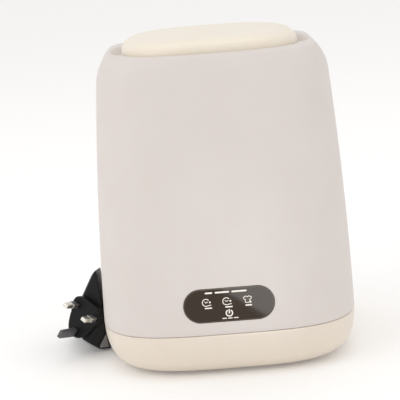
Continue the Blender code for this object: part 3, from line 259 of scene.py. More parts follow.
def make_materials():
    """Every finish on the machine, by a short name."""
    # ABS moulded against a spark-eroded tool: a soft matt, warm grey-white. The real grain is 0.1 mm, too
    # fine to show, so it is drawn at 0.9 mm.
    housing = moulded("abs_warm_grey_spark_eroded", "#DCD4CF", "#D6CDC8", (0.50, 0.60), 0.9, 0.05,
                      **lit_within(0.06, 0.004, 0.003, 0.0022))
    # ABS in cream, satin from a polished tool: a soft wide sheen and a slightly deeper colour in its curves.
    satin = {"Coat Weight": 0.12, "Coat Roughness": 0.28, **lit_within(0.06, 0.004, 0.003, 0.002)}
    cream = moulded("abs_cream_satin", "#F0E6D6", "#EADFCD", (0.36, 0.44), 0.8, 0.035, **satin)
    # The same ABS in the base, coloured a shade deeper than the lid's.
    deep_cream = moulded("abs_deep_cream_satin", "#E7DCCE", "#E0D4C5", (0.36, 0.44), 0.8, 0.035, **satin)
    # Smoked acrylic, cast and polished, printed black behind: deep brown-black with a hard clear gloss.
    panel = moulded("acrylic_smoked_polished", "#382A1C", "#312418", (0.05, 0.09), 3.0, 0.004, 60.0,
                    ior=1.49, **{"Specular IOR Level": 0.32})
    # The acrylic's ground edge: a little lighter and duller than its face.
    panel_edge = moulded("acrylic_smoked_ground_edge", "#5A4C40", "#46392E", (0.22, 0.32), 0.6, 0.02, 12.0,
                         ior=1.49)
    # Screen-printed epoxy ink: flat near-white with slightly uneven cover, and a faint painted glow from its
    # emission, which makes the print read brighter.
    ink = moulded("epoxy_ink_warm_white_painted_glow", "#F7F1E8", "#E6DED3", (0.45, 0.6), 0.5, 0.01, 3.0, ior=1.5,
                  **{"Emission Color": linear("#F7F1E8"), "Emission Strength": 0.12})
    # Polypropylene moulded in a polished tool: milky white, waxy, light goes a little way in.
    tub = moulded("polypropylene_milky_moulded", "#F1F0EC", "#E8E7E2", (0.28, 0.36), 1.6, 0.03, 30.0,
                  ior=1.49, **lit_within(0.2, 0.006, 0.006, 0.005))
    # Polypropylene of the pulsator, a shade greyer from its finer tool texture.
    grey = moulded("polypropylene_soft_grey_moulded", "#D3D1CC", "#C8C6C0", (0.3, 0.4), 1.2, 0.03, 24.0,
                   ior=1.49, **lit_within(0.1, 0.004, 0.004, 0.004))
    # Silicone, compression moulded: greyish, rubbery, slightly dusty.
    silicone = moulded("silicone_grey_compression_moulded", "#C9C6BF", "#BAB7B0", (0.5, 0.62), 0.9, 0.03, 9.0,
                       ior=1.41, **lit_within(0.15, 0.003, 0.003, 0.003))
    # Glass-filled nylon: grey, with a dry mottle from the fibres at its skin.
    structure = moulded("nylon_glass_filled_moulded", "#9B9A97", "#83827F", (0.45, 0.62), 1.1, 0.06, 6.0)
    # Nitrile rubber of the belt and the shaft seal: deep grey-black and matt.
    rubber = moulded("nitrile_rubber_moulded", "#232323", "#191919", (0.6, 0.78), 0.7, 0.05, 7.0, ior=1.52)
    # Soft PVC of the cord and its plug: black and satin, with the faint waviness of an extruded jacket.
    pvc = moulded("pvc_soft_black_extruded", "#222224", "#17171A", (0.38, 0.5), 1.4, 0.03, 14.0)
    # ABS of the adapter, spark-eroded: near-black, with a grain that catches the light at its edges.
    adapter = moulded("abs_black_spark_eroded", "#151516", "#0E0E0F", (0.36, 0.5), 0.8, 0.06, 18.0,
                      **{"Specular IOR Level": 0.2})
    # A painted highlight: a plain mid grey, satin sheet laid flat on one facet of the black adapter, standing
    # in for the light that facet catches.
    facet_highlight_paint = moulded("grey_painted_facet_highlight", "#8C8986", "#7A7774", (0.34, 0.44), 1.2, 0.01, 10.0, ior=1.5)
    # Nickel-plated brass of the pins: pale and bright, with fine drawing lines.
    nickel = turned_metal("brass_nickel_plated_drawn", "#F4F1EA", "#DEDAD0", (0.26, 0.4), 0.5, 0)
    # Nylon of the pins' sleeves and of the dummy earth pin: black-grey satin.
    sleeve = moulded("nylon_sleeve_moulded", "#5C5C5E", "#4E4E50", (0.36, 0.46), 0.9, 0.03, 8.0)
    # Stainless steel of screws and shafts, turned: cool grey with fine rings across the axis.
    steel = turned_metal("stainless_steel_turned", "#C2C2C0", "#9E9E9C", (0.24, 0.4), 0.5, 2)
    # Zinc-plated steel of the motor's can, drawn: brighter and cloudier than the screws.
    can = turned_metal("steel_zinc_plated_drawn", "#BDBFC1", "#989B9F", (0.3, 0.5), 0.7, 2)
    # Epoxy-glass circuit board under solder mask: deep green, glossy over a faint weave.
    board = moulded("epoxy_glass_board_green", "#1E6B45", "#175638", (0.25, 0.38), 1.0, 0.03, 10.0, ior=1.55)
    return {
        "housing": housing, "cream": cream, "deep_cream": deep_cream, "panel": panel,
        "panel_edge": panel_edge, "ink": ink, "tub": tub, "grey": grey, "silicone": silicone,
        "structure": structure, "rubber": rubber, "pvc": pvc,
        "adapter": adapter, "facet_highlight_paint": facet_highlight_paint, "nickel": nickel, "sleeve": sleeve, "steel": steel,
        "can": can, "board": board,
    }


# ---------------------------------------------------------------- mesh helpers
def piece(name, mesh, materials, body, replaced=(), smooth=True):
    """A finished piece in its place: its mesh is in metres and its object sits at the origin.

    materials are its finishes, and replaced names the CAD nodes that it stands for.
    """
    obj = bpy.data.objects.new(name, mesh)
    scene.collection.objects.link(obj)
    if not mesh.materials:
        for material in materials:
            mesh.materials.append(material)
    if smooth:
        mesh.shade_smooth()
        mesh.set_sharp_from_angle(angle=math.radians(SHARP_ANGLE))
    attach(obj, body)
    if replaced:
        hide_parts(*replaced)
    return obj


def mesh_from(name, shape, matrix=None):
    """A bmesh in millimetres as a mesh in metres, its faces pointing out."""
    if matrix is not None:
        shape.transform(matrix)
    bmesh.ops.recalc_face_normals(shape, faces=shape.faces)
    mesh = bpy.data.meshes.new(name)
    shape.to_mesh(mesh)
    shape.free()
    mesh.transform(Matrix.Scale(MM, 4))
    return mesh


def add_rings(shape, rings, closed=False, index=0):
    """Skins rings of points, and joins the last to the first if closed, or else caps both ends.

    A ring of one point is the tip of a fan.
    """
    rows = [[shape.verts.new(point) for point in ring] for ring in rings]
    pairs = list(zip(rows, rows[1:]))
    if closed:
        pairs.append((rows[-1], rows[0]))
    for first, second in pairs:
        count = max(len(first), len(second))
        for i in range(count):
            j = (i + 1) % count
            if len(first) == 1:
                corners = (first[0], second[j], second[i])
            elif len(second) == 1:
                corners = (first[i], first[j], second[0])
            else:
                corners = (first[i], first[j], second[j], second[i])
            shape.faces.new(corners).material_index = index
    if not closed:
        for row in (rows[0], rows[-1]):
            if len(row) > 2:
                shape.faces.new(row).material_index = index


def circle(radius, height, count=64):
    """A ring of points about Z, or the one point of a ring with no radius."""
    if radius == 0:
        return [Vector((0, 0, height))]
    angles = [2 * math.pi * i / count for i in range(count)]
    return [Vector((radius * math.cos(a), radius * math.sin(a), height)) for a in angles]


def facing(position, axis=(0, 0, 1)):
    """A place whose Z runs along an axis."""
    turn = Vector((0, 0, 1)).rotation_difference(Vector(axis))
    return Matrix.Translation(position) @ turn.to_matrix().to_4x4()


def turned(profile, position=(0, 0, 0), axis=(0, 0, 1), count=64):
    """A turned shape from (radius, height) pairs, as a bmesh."""
    shape = bmesh.new()
    add_rings(shape, [circle(radius, height, count) for radius, height in profile])
    shape.transform(facing(position, axis))
    return shape


def cut(obj, tool_mesh):
    """Cuts a tool's mesh out of a piece's mesh, for good."""
    tool = bpy.data.objects.new("cutting_tool", tool_mesh)
    scene.collection.objects.link(tool)
    modifier = obj.modifiers.new("cut", "BOOLEAN")
    modifier.operation = "DIFFERENCE"
    modifier.solver = "EXACT"
    modifier.object = tool
    result = bpy.data.meshes.new_from_object(obj.evaluated_get(bpy.context.evaluated_depsgraph_get()))
    obj.modifiers.remove(modifier)
    old = obj.data
    obj.data = result
    bpy.data.meshes.remove(old)
    bpy.data.objects.remove(tool)


# ---------------------------------------------------------------- the housing's profile
def body_inset(height):
    """How far the outer surface stands in from the widest outline at a height."""
    if height < WIDEST_HEIGHT:
        share = (WIDEST_HEIGHT - height) / (WIDEST_HEIGHT - BASE_BOTTOM)
        return BASE_CURVE_IN * (1 - max(0.0, 1 - share**BASE_CURVE_POWER) ** (1 / BASE_CURVE_POWER))
    climb = (height - WIDEST_HEIGHT) / (RIM_HEIGHT - WIDEST_HEIGHT)
    inset = TAPER_IN * climb + BULGE_IN * climb**2
    rise = (height - (RIM_HEIGHT - SHOULDER_START)) / SHOULDER_RISE
    if rise > 0:
        inset += SHOULDER_IN * (1 - math.sqrt(1 - rise**2))
    return inset


def body_exponent(height):
    """How square the plan is at a height."""
    climb = min(max((height - WIDEST_HEIGHT) / (RIM_HEIGHT - WIDEST_HEIGHT), 0.0), 1.0)
    return BASE_EXPONENT + (SHOULDER_EXPONENT - BASE_EXPONENT) * climb


def body_row(height, inward=0.0):
    """A row of the shell on the outer surface, or a distance inside it."""
    return (body_inset(height) + inward, height, body_exponent(height))


def fitting_face(x, height):
    """The Y of the flat that a fitting's flange sits on at the back."""
    inset = body_inset(height)
    exponent = body_exponent(height)
    across = abs(x) / (WIDTH / 2 - inset)
    surface = (DEPTH / 2 - inset) * (1 - across**exponent) ** (1 / exponent)
    return surface - FITTING_SINK


def steps(first, last, count):
    """Even steps from first to last, both included."""
    return [first + (last - first) * i / count for i in range(count + 1)]


def dome_height(share):
    """The lid's height at a share of the way from its middle to its edge."""
    fall = max(0.0, 1 - share**LID_DOME_POWER) ** (1 / LID_DOME_ROOT)
    return LID_EDGE + (HEIGHT - LID_EDGE) * fall


# ---------------------------------------------------------------- node trees that shape meshes
def shape_tree(name, inputs):
    """An empty Geometry Nodes tree with its sockets: inputs are (name, type) pairs after the mesh."""
    tree = bpy.data.node_groups.new(name, "GeometryNodeTree")
    for side in ("INPUT", "OUTPUT"):
        tree.interface.new_socket("Geometry", in_out=side, socket_type="NodeSocketGeometry")
    for socket, kind in inputs:
        tree.interface.new_socket(socket, in_out="INPUT", socket_type=kind)
    return tree, add(tree, "NodeGroupInput")


def finish_shape(tree, source, material):
    """Ends a tree with real geometry in one material."""
    real = add(tree, "GeometryNodeRealizeInstances", None, {"Geometry": source.outputs[0]})
    dressed = add(tree, "GeometryNodeSetMaterial", None, {"Geometry": real.outputs[0], "Material": material})
    add(tree, "NodeGroupOutput", None, {0: dressed.outputs[0]})
    return tree


def run_tree(name, mesh, tree, given):
    """A mesh put through a tree with these inputs, as a plain mesh."""
    obj = bpy.data.objects.new(name, mesh)
    scene.collection.objects.link(obj)
    modifier = obj.modifiers.new("shape", "NODES")
    modifier.node_group = tree
    for item in tree.interface.items_tree:
        if item.in_out == "INPUT" and item.name in given:
            modifier[item.identifier] = given[item.name]
    made = bpy.data.meshes.new_from_object(obj.evaluated_get(bpy.context.evaluated_depsgraph_get()))
    bpy.data.objects.remove(obj)
    bpy.data.meshes.remove(mesh)
    return made


def rounded_square_tree(material):
    """Bends a flat grid into a rounded-square shell with a finger scoop on either side of its rim.

    Each point of the grid carries its turn round the machine, its row's inset, rise and squareness, and
    whether its row takes the scoops.
    """
    names = ("Half Width", "Half Depth", "Scoop Half Length", "Scoop Radius", "Scoop Depth", "Scoop Centre",
             "Scoop Rim")
    tree, given = shape_tree("rounded_square_shell", [(name, "NodeSocketFloat") for name in names])
    value = {name: given.outputs[name] for name in names}
    for name in ("turn", "inset", "rise", "squareness", "scooped"):
        stored = add(tree, "GeometryNodeInputNamedAttribute", {"data_type": "FLOAT"}, {"Name": name})
        value[name] = stored.outputs[0]
    # Each line is a result, the operation that gives it, and what it works on. The lines down to y put a
    # point on the rounded square; the rest say how deep it lies inside a long hollow on either side.
    for result, operation, *terms in (
        ("cosine", "COSINE", "turn"),
        ("sine", "SINE", "turn"),
        ("half width", "SUBTRACT", "Half Width", "inset"),
        ("half depth", "SUBTRACT", "Half Depth", "inset"),
        ("cosine size", "ABSOLUTE", "cosine"),
        ("sine size", "ABSOLUTE", "sine"),
        ("across share", "DIVIDE", "cosine size", "half width"),
        ("along share", "DIVIDE", "sine size", "half depth"),
        ("across", "POWER", "across share", "squareness"),
        ("along", "POWER", "along share", "squareness"),
        ("both", "ADD", "across", "along"),
        ("root", "DIVIDE", -1.0, "squareness"),
        ("reach", "POWER", "both", "root"),
        ("x", "MULTIPLY", "reach", "cosine"),
        ("y", "MULTIPLY", "reach", "sine"),
        ("x size", "ABSOLUTE", "x"),
        ("from centre", "SUBTRACT", "x size", "Scoop Centre"),
        ("side", "DIVIDE", "from centre", "Scoop Radius"),
        ("end", "DIVIDE", "y", "Scoop Half Length"),
        ("side size", "ABSOLUTE", "side"),
        ("end size", "ABSOLUTE", "end"),
        ("side power", "POWER", "side size", SCOOP_SIDE_POWER),
        ("end power", "POWER", "end size", SCOOP_END_POWER),
        ("distance", "ADD", "side power", "end power"),
        ("inside", "SUBTRACT", 1.0, "distance"),
    ):
        step = add(tree, "ShaderNodeMath", {"operation": operation}, {
            place: value.get(term, term) for place, term in enumerate(terms)})
        value[result] = step.outputs[0]
    # The hollow has a soft shoulder, and only the rows of the rim and the recess wall take it.
    eased = add(tree, "ShaderNodeMapRange", {"interpolation_type": "SMOOTHSTEP"}, {"Value": value["inside"]})
    hollow = add(tree, "ShaderNodeMath", {"operation": "MULTIPLY"}, {
        0: eased.outputs[0], 1: value["Scoop Depth"]})
    bottom = add(tree, "ShaderNodeMath", {"operation": "SUBTRACT"}, {
        0: value["Scoop Rim"], 1: hollow.outputs[0]})
    lower = add(tree, "ShaderNodeMath", {"operation": "MINIMUM"}, {0: value["rise"], 1: bottom.outputs[0]})
    z = add(tree, "ShaderNodeMix", {"data_type": "FLOAT"}, {
        0: value["scooped"], 2: value["rise"], 3: lower.outputs[0]})
    spot = add(tree, "ShaderNodeCombineXYZ", None, {0: value["x"], 1: value["y"], 2: z.outputs[0]})
    bent = add(tree, "GeometryNodeSetPosition", None, {
        "Geometry": given.outputs["Geometry"], "Position": spot.outputs[0]})
    scaled = add(tree, "GeometryNodeTransform", None, {"Geometry": bent.outputs[0], "Scale": (MM, MM, MM)})
    closed = add(tree, "GeometryNodeMergeByDistance", None, {
        "Geometry": scaled.outputs[0], "Distance": MERGE_DISTANCE * MM})
    return finish_shape(tree, closed, material)


def shell(name, rows, material, closed=True):
    """A rounded-square shell as a plain mesh.

    A row is (inset, rise, squareness), and a fourth item says that it takes the scoops.
    """
    shape = bmesh.new()
    keys = [shape.verts.layers.float.new(key) for key in ("turn", "inset", "rise", "squareness", "scooped")]
    grid = []
    for inset, rise, squareness, *scooped in rows:
        line = []
        for i in range(AROUND):
            vert = shape.verts.new((i, rise, inset))
            carried = (2 * math.pi * i / AROUND, inset, rise, squareness, 1.0 if scooped else 0.0)
            for key, value in zip(keys, carried):
                vert[key] = value
            line.append(vert)
        grid.append(line)
    pairs = list(zip(grid, grid[1:]))
    if closed:
        pairs.append((grid[-1], grid[0]))
    for first, second in pairs:
        for i in range(AROUND):
            j = (i + 1) % AROUND
            shape.faces.new((first[i], first[j], second[j], second[i]))
    mesh = bpy.data.meshes.new(name)
    shape.to_mesh(mesh)
    shape.free()
    made = run_tree(name, mesh, rounded_square_tree(material), {
        "Half Width": WIDTH / 2,
        "Half Depth": DEPTH / 2,
        "Scoop Half Length": SCOOP_LENGTH / 2 + SOFT_SCOOP_SPREAD,
        "Scoop Radius": SOFT_SCOOP_RADIUS,
        "Scoop Depth": SOFT_SCOOP_DEPTH,
        "Scoop Centre": WIDTH / 2 - RECESS_IN + SOFT_SCOOP_SHIFT,
        "Scoop Rim": RIM_HEIGHT + RIM_CROWN,
    })
    shape = bmesh.new()
    shape.from_mesh(made)
    bmesh.ops.recalc_face_normals(shape, faces=shape.faces)
    shape.to_mesh(made)
    shape.free()
    return made


def repeat_tree(material):
    """Repeats a piece, each copy a step further along and turned a step further about Z."""
    tree, given = shape_tree("stepped_repeats", [
        ("Copies", "NodeSocketInt"), ("Step", "NodeSocketVector"), ("Turn", "NodeSocketFloat")])
    places = add(tree, "GeometryNodeMeshLine", None, {
        "Count": given.outputs["Copies"], "Offset": given.outputs["Step"]})
    number = add(tree, "GeometryNodeInputIndex")
    angle = add(tree, "ShaderNodeMath", {"operation": "MULTIPLY"}, {
        0: number.outputs[0], 1: given.outputs["Turn"]})
    euler = add(tree, "ShaderNodeCombineXYZ", None, {2: angle.outputs[0]})
    turn = add(tree, "FunctionNodeEulerToRotation", None, {0: euler.outputs[0]})
    copies = add(tree, "GeometryNodeInstanceOnPoints", None, {
        "Points": places.outputs[0], "Instance": given.outputs["Geometry"], "Rotation": turn.outputs[0]})
    return finish_shape(tree, copies, material)


def repeated(name, mesh, material, copies, step, turn):
    """One mesh repeated by the tree, as a plain mesh. step is in millimetres and turn in degrees."""
    given = {"Copies": copies, "Step": [value * MM for value in step], "Turn": math.radians(turn)}
    return run_tree(name, mesh, repeat_tree(material), given)


# ---------------------------------------------------------------- housing, base and lid
def make_housing(stuff):
    """The housing's shell, from its lower edge over the rim to the lid's seat and back down inside."""
    shoulder = RIM_HEIGHT - SHOULDER_START
    low = SEAM_HEIGHT + GAP
    side = steps(low + EDGE_EASE, shoulder, 46)
    curve = [shoulder + SHOULDER_START * math.sin(math.radians(a)) for a in steps(0, 90, 24)[1:]]
    # The lower edge has a small radius, so it draws a fine light line above the seam.
    rows = [body_row(low, EDGE_EASE), body_row(low + 0.2, 0.2)]
    rows += [body_row(height) for height in side]
    rows += [body_row(height) for height in curve[:-1]]
    rim_in = body_inset(RIM_HEIGHT)
    edge_in = RECESS_IN - RIM_EDGE_RADIUS
    for share in steps(0, 1, 16)[:-1]:
        inset = rim_in + (edge_in - rim_in) * share
        lift = math.sin(share * math.pi / 2)
        squareness = SHOULDER_EXPONENT + (LID_EXPONENT - SHOULDER_EXPONENT) * share
        rows.append((inset, RIM_HEIGHT + RIM_CROWN * lift, squareness, True))
    for degrees in steps(0, 90, 8):
        angle = math.radians(degrees)
        inset = RECESS_IN - RIM_EDGE_RADIUS * (1 - math.sin(angle))
        height = RIM_HEIGHT + RIM_CROWN - RIM_EDGE_RADIUS * (1 - math.cos(angle))
        rows.append((inset, height, LID_EXPONENT, True))
    wall = RIM_HEIGHT + RIM_CROWN - RIM_EDGE_RADIUS
    rows += [(RECESS_IN, height, LID_EXPONENT, True) for height in steps(wall, SEAT_HEIGHT + 0.6, 8)[1:]]
    rows.append((RECESS_IN + 0.2, SEAT_HEIGHT + 0.15, LID_EXPONENT))
    mouth = SEAT_HEIGHT - SEAT_THICKNESS
    inner_in = RECESS_IN - SEAT_THICKNESS
    for inset, height in (
        (RECESS_IN + EDGE_EASE, SEAT_HEIGHT), (MOUTH_IN - 0.6, SEAT_HEIGHT),
        (MOUTH_IN - 0.15, SEAT_HEIGHT - 0.2), (MOUTH_IN, SEAT_HEIGHT - EDGE_EASE),
        (MOUTH_IN, mouth + 0.3), (MOUTH_IN - 0.3, mouth),
        (inner_in, mouth), (inner_in, RIM_HEIGHT - SCOOP_DEPTH - WALL),
    ):
        rows.append((inset, height, LID_EXPONENT))
    inner = [shoulder + SHOULDER_START * math.sin(math.radians(a)) for a in (22, 42)]
    rows += [body_row(height, WALL) for height in reversed(steps(low, shoulder, 12) + inner)]
    mesh = shell("housing_shell", rows, stuff["housing"])
    obj = piece("housing_shell", mesh, [stuff["housing"]], "machine", ["outer_housing"])
    # A pocket for the panel, and a smaller window through the wall behind it.
    clear = 4.0
    cut(obj, mesh_from("pocket_tool", panel_plate(GAP, -(PANEL_THICKNESS + GAP), clear)))
    cut(obj, mesh_from("window_tool", panel_plate(-3.0, -7.0, clear)))
    reach = 12.0
    for x, height, hole, flange in (
        (INLET_X, INLET_HEIGHT, INLET_RADIUS, INLET_FLANGE_RADIUS),
        (DRAIN_X, DRAIN_HEIGHT, DRAIN_OUTER, DRAIN_FLANGE_RADIUS),
    ):
        profile = [(hole + GAP, -reach), (hole + GAP, 0.0), (flange + GAP, 0.0), (flange + GAP, reach)]
        cut(obj, mesh_from("fitting_tool", turned(profile, (x, fitting_face(x, height), height), (0, 1, 0))))
    obj.data.shade_smooth()
    obj.data.set_sharp_from_angle(angle=math.radians(SHARP_ANGLE))
    return obj


def make_base(stuff):
    """The base's bowl, from the service opening round its outside to the tongue and back down inside."""
    rise = WIDEST_HEIGHT - BASE_BOTTOM
    curve = [WIDEST_HEIGHT - rise * math.cos(math.radians(a)) for a in steps(0, 70, 34)]
    tongue_in = WALL + GAP
    top = SEAM_HEIGHT + TONGUE_HEIGHT
    inside = tongue_in + TONGUE_WALL
    floor = BASE_BOTTOM + BASE_WALL
    rows = [(SERVICE_OPENING_IN, BASE_BOTTOM + 0.5, LID_EXPONENT)]
    rows.append((SERVICE_OPENING_IN - 0.4, BASE_BOTTOM, LID_EXPONENT))
    bottom_in = body_inset(curve[0])
    for share in steps(0, 1, 5)[1:-1]:
        inset = SERVICE_OPENING_IN + (bottom_in - SERVICE_OPENING_IN) * share
        rows.append((inset, BASE_BOTTOM, LID_EXPONENT + (BASE_EXPONENT - LID_EXPONENT) * share))
    rows += [body_row(height) for height in curve]
    rows += [body_row(height) for height in steps(curve[-1], SEAM_HEIGHT - EDGE_EASE, 8)[1:]]
    rows += [body_row(SEAM_HEIGHT - 0.2, 0.2), body_row(SEAM_HEIGHT, EDGE_EASE)]
    rows.append(body_row(SEAM_HEIGHT, tongue_in))
    rows += [(tongue_in, top, BASE_EXPONENT), (inside, top, BASE_EXPONENT)]
    rows.append((inside, SEAM_HEIGHT - 4.0, BASE_EXPONENT))
    for height in reversed(curve[2:-3:3]):
        lifted = max(height, floor + 1.0)
        rows.append((body_inset(height) + BASE_WALL + 0.6, lifted + 0.6, BASE_EXPONENT))
    rows.append((BASE_CURVE_IN + BASE_WALL, floor, BASE_EXPONENT))
    rows.append((SERVICE_OPENING_IN, floor, LID_EXPONENT))
    mesh = shell("base_bowl", rows, stuff["deep_cream"])
    return piece("base_bowl", mesh, [stuff["deep_cream"]], "machine", ["base_shell"])


def make_lid(stuff):
    """The lid's dome and skirt. The plan goes from a circle in the middle to a rounded square at the edge."""
    half = WIDTH / 2 - LID_IN
    skirt = SEAT_HEIGHT + 2 * GAP
    ease = 0.4

    def dome_row(share, inward):
        squareness = 2 + (LID_EXPONENT - 2) * share**2
        return (WIDTH / 2 - (half - inward) * share, dome_height(share) - inward, squareness)

    shares = [0.0001] + [math.sin(math.radians(a)) for a in steps(0, 90, 60)[1:]]
    inner = [share for share in shares if share < 0.996][::3]
    rows = [dome_row(share, LID_WALL) for share in inner]
    rows += [(LID_IN + LID_WALL, skirt, LID_EXPONENT), (LID_IN + ease, skirt, LID_EXPONENT)]
    rows += [(LID_IN, height, LID_EXPONENT) for height in steps(skirt + ease, LID_EDGE, 5)[:-1]]
    rows += [dome_row(share, 0.0) for share in reversed(shares)]
    mesh = shell("lid_dome", rows, stuff["cream"], closed=False)
    return piece("lid_dome", mesh, [stuff["cream"]], "lid", ["lid_shell"])


def make_cover_ribs(stuff):
    """Low ribs under the service cover, which stiffen it."""
    shape = bmesh.new()
    first = Matrix.Translation((0, -24.0, 2.45))
    bmesh.ops.create_cube(shape, matrix=first @ Matrix.Diagonal((64.0, 2.2, 0.9, 1)))
    bmesh.ops.bevel(shape, geom=shape.edges[:], offset=0.35, segments=2, affect="EDGES", profile=0.5)
    rib = mesh_from("cover_rib", shape)
    mesh = repeated("cover_ribs", rib, stuff["deep_cream"], copies=9, step=(0, 6.0, 0), turn=0.0)
    return piece("cover_ribs", mesh, [stuff["deep_cream"]], "machine")


def make_pulsator_nubs(stuff):
    """Five low scrubbing nubs between each pair of vanes, one cluster repeated round the disc."""
    shape = bmesh.new()
    nub = ((2.3, 0), (2.1, 0.8), (1.4, 1.5), (0.5, 1.8))
    outer, inner = (40, 102.9), (29, 103.7)
    for (radius, height), degrees in ((outer, 20), (outer, 36), (outer, 52), (inner, 28), (inner, 44)):
        angle = math.radians(degrees)
        centre = Vector((radius * math.cos(angle), radius * math.sin(angle), height))
        add_rings(shape, [[centre + point for point in circle(r, z, 14)] for r, z in nub])
    cluster = mesh_from("nub_cluster", shape)
    mesh = repeated("pulsator_nubs", cluster, stuff["grey"], copies=5, step=(0, 0, 0), turn=72.0)
    return piece("pulsator_nubs", mesh, [stuff["grey"]], "pulsator")


def make_drain_cap(stuff):
    """The rubber plug at the back, with a raised rim and a tab to pull it by."""
    wall = fitting_face(DRAIN_X, DRAIN_HEIGHT)
    stem = DRAIN_OUTER - 2.0 - GAP
    out = GAP + FITTING_FLANGE
    edge = DRAIN_FLANGE_RADIUS
    profile = [(0, -9.0), (stem - 0.8, -9.0), (stem, -8.2), (stem, GAP), (edge - 0.3, GAP), (edge, GAP + 0.3)]
    profile += [(edge, out - 0.4), (edge - 0.4, out), (edge - 1.8, out), (edge - 2.2, out - 0.5)]
    profile.append((0, out - 0.5))
    place = facing((DRAIN_X, wall, DRAIN_HEIGHT), (0, 1, 0))
    shape = turned(profile, count=72)
    on_cap = Matrix.Translation((0, 0, out + 0.9))
    tab = bmesh.ops.create_cube(shape, matrix=on_cap @ Matrix.Diagonal((10.0, 2.0, 3.4, 1)))
    edges = {item for vert in tab["verts"] for item in vert.link_edges}
    bmesh.ops.bevel(shape, geom=list(edges), offset=0.7, segments=3, affect="EDGES", profile=0.5)
    mesh = mesh_from("drain_cap", shape, place)
    return piece("drain_cap", mesh, [stuff["silicone"]], "drain_plug", ["drain_plug"])


# ---------------------------------------------------------------- touch panel
def panel_frame():
    """A frame on the front surface: X across, Y up it and Z out of it."""
    half = PANEL_HEIGHT / 2
    lean = (body_inset(PANEL_CENTRE_HEIGHT + half) - body_inset(PANEL_CENTRE_HEIGHT - half)) / PANEL_HEIGHT
    up = Vector((0, lean, 1)).normalized()
    out = Vector((1, 0, 0)).cross(up)
    face = -(DEPTH / 2 - body_inset(PANEL_CENTRE_HEIGHT)) + 0.2
    turn = Matrix((Vector((1, 0, 0)), up, out)).transposed().to_4x4()
    return Matrix.Translation((PANEL_X, face, PANEL_CENTRE_HEIGHT)) @ turn


def stadium(length, height, z, count=24):
    """A level outline with straight sides and round ends."""
    radius = height / 2
    middle = length / 2 - radius
    points = []
    for side, start in ((1, -90), (-1, 90)):
        for i in range(count + 1):
            angle = math.radians(start + 180 * i / count)
            points.append(Vector((side * middle + radius * math.cos(angle), radius * math.sin(angle), z)))
    return points


def panel_plate(outward, low, high):
    """A plate in the panel's outline, grown outward, between two heights over its face."""
    shape = bmesh.new()
    length = PANEL_LENGTH + 2 * outward
    height = PANEL_HEIGHT + 2 * outward
    add_rings(shape, [stadium(length, height, low), stadium(length, height, high)])
    shape.transform(panel_frame())
    bmesh.ops.recalc_face_normals(shape, faces=shape.faces)
    return shape


def make_panel(stuff):
    """The touch panel: a polished face over a ground edge."""
    shape = bmesh.new()
    rings = [(0.0, -PANEL_THICKNESS), (0.0, -0.35), (-0.12, -0.1), (-0.4, 0.0), (-0.8, 0.0)]
    outlines = [stadium(PANEL_LENGTH + 2 * out, PANEL_HEIGHT + 2 * out, z) for out, z in rings]
    add_rings(shape, outlines, index=1)
    for face in shape.faces:
        if len(face.verts) > 4 and face.calc_center_median().z > -0.05:
            face.material_index = 0
    mesh = mesh_from("panel_window", shape, panel_frame())
    return piece("panel_window", mesh, [stuff["panel"], stuff["panel_edge"]], "machine",
                 ["touch_panel"])


def stroke(shape, points, width, closed=False):
    """A flat printed line of even width through points, a hair above the panel's face."""
    count = len(points)
    sides = []
    for i, point in enumerate(points):
        before = points[i - 1] if closed or i else point
        after = points[(i + 1) % count] if closed or i < count - 1 else point
        run = (after - before).normalized()
        out = Vector((-run.y, run.x)) * width / 2
        sides.append((point + out, point - out))
    corners = [((*a, INK_LOW), (*b, INK_LOW), (*b, INK_HIGH), (*a, INK_HIGH)) for a, b in sides]
    add_rings(shape, corners, closed)


def arc(centre, radius, start, end, count=28):
    """Points on part of a circle, between two angles in degrees."""
    angles = [math.radians(angle) for angle in steps(start, end, count)]
    return [Vector((centre[0] + radius * math.cos(a), centre[1] + radius * math.sin(a))) for a in angles]


def filled(shape, points):
    """A filled printed outline."""
    add_rings(shape, [[(*point, height) for point in points] for height in (INK_LOW, INK_HIGH)])


def dot(shape, centre, radius):
    filled(shape, arc(centre, radius, 0, 360, 20)[:-1])


def bar(shape, centre, length, height):
    """A short plain rounded bar where a word would be."""
    radius = height / 2
    points = []
    for side, first in ((1, -90), (-1, 90)):
        end = (centre[0] + side * (length / 2 - radius), centre[1])
        points += arc(end, radius, first, first + 180, 6)
    filled(shape, points)


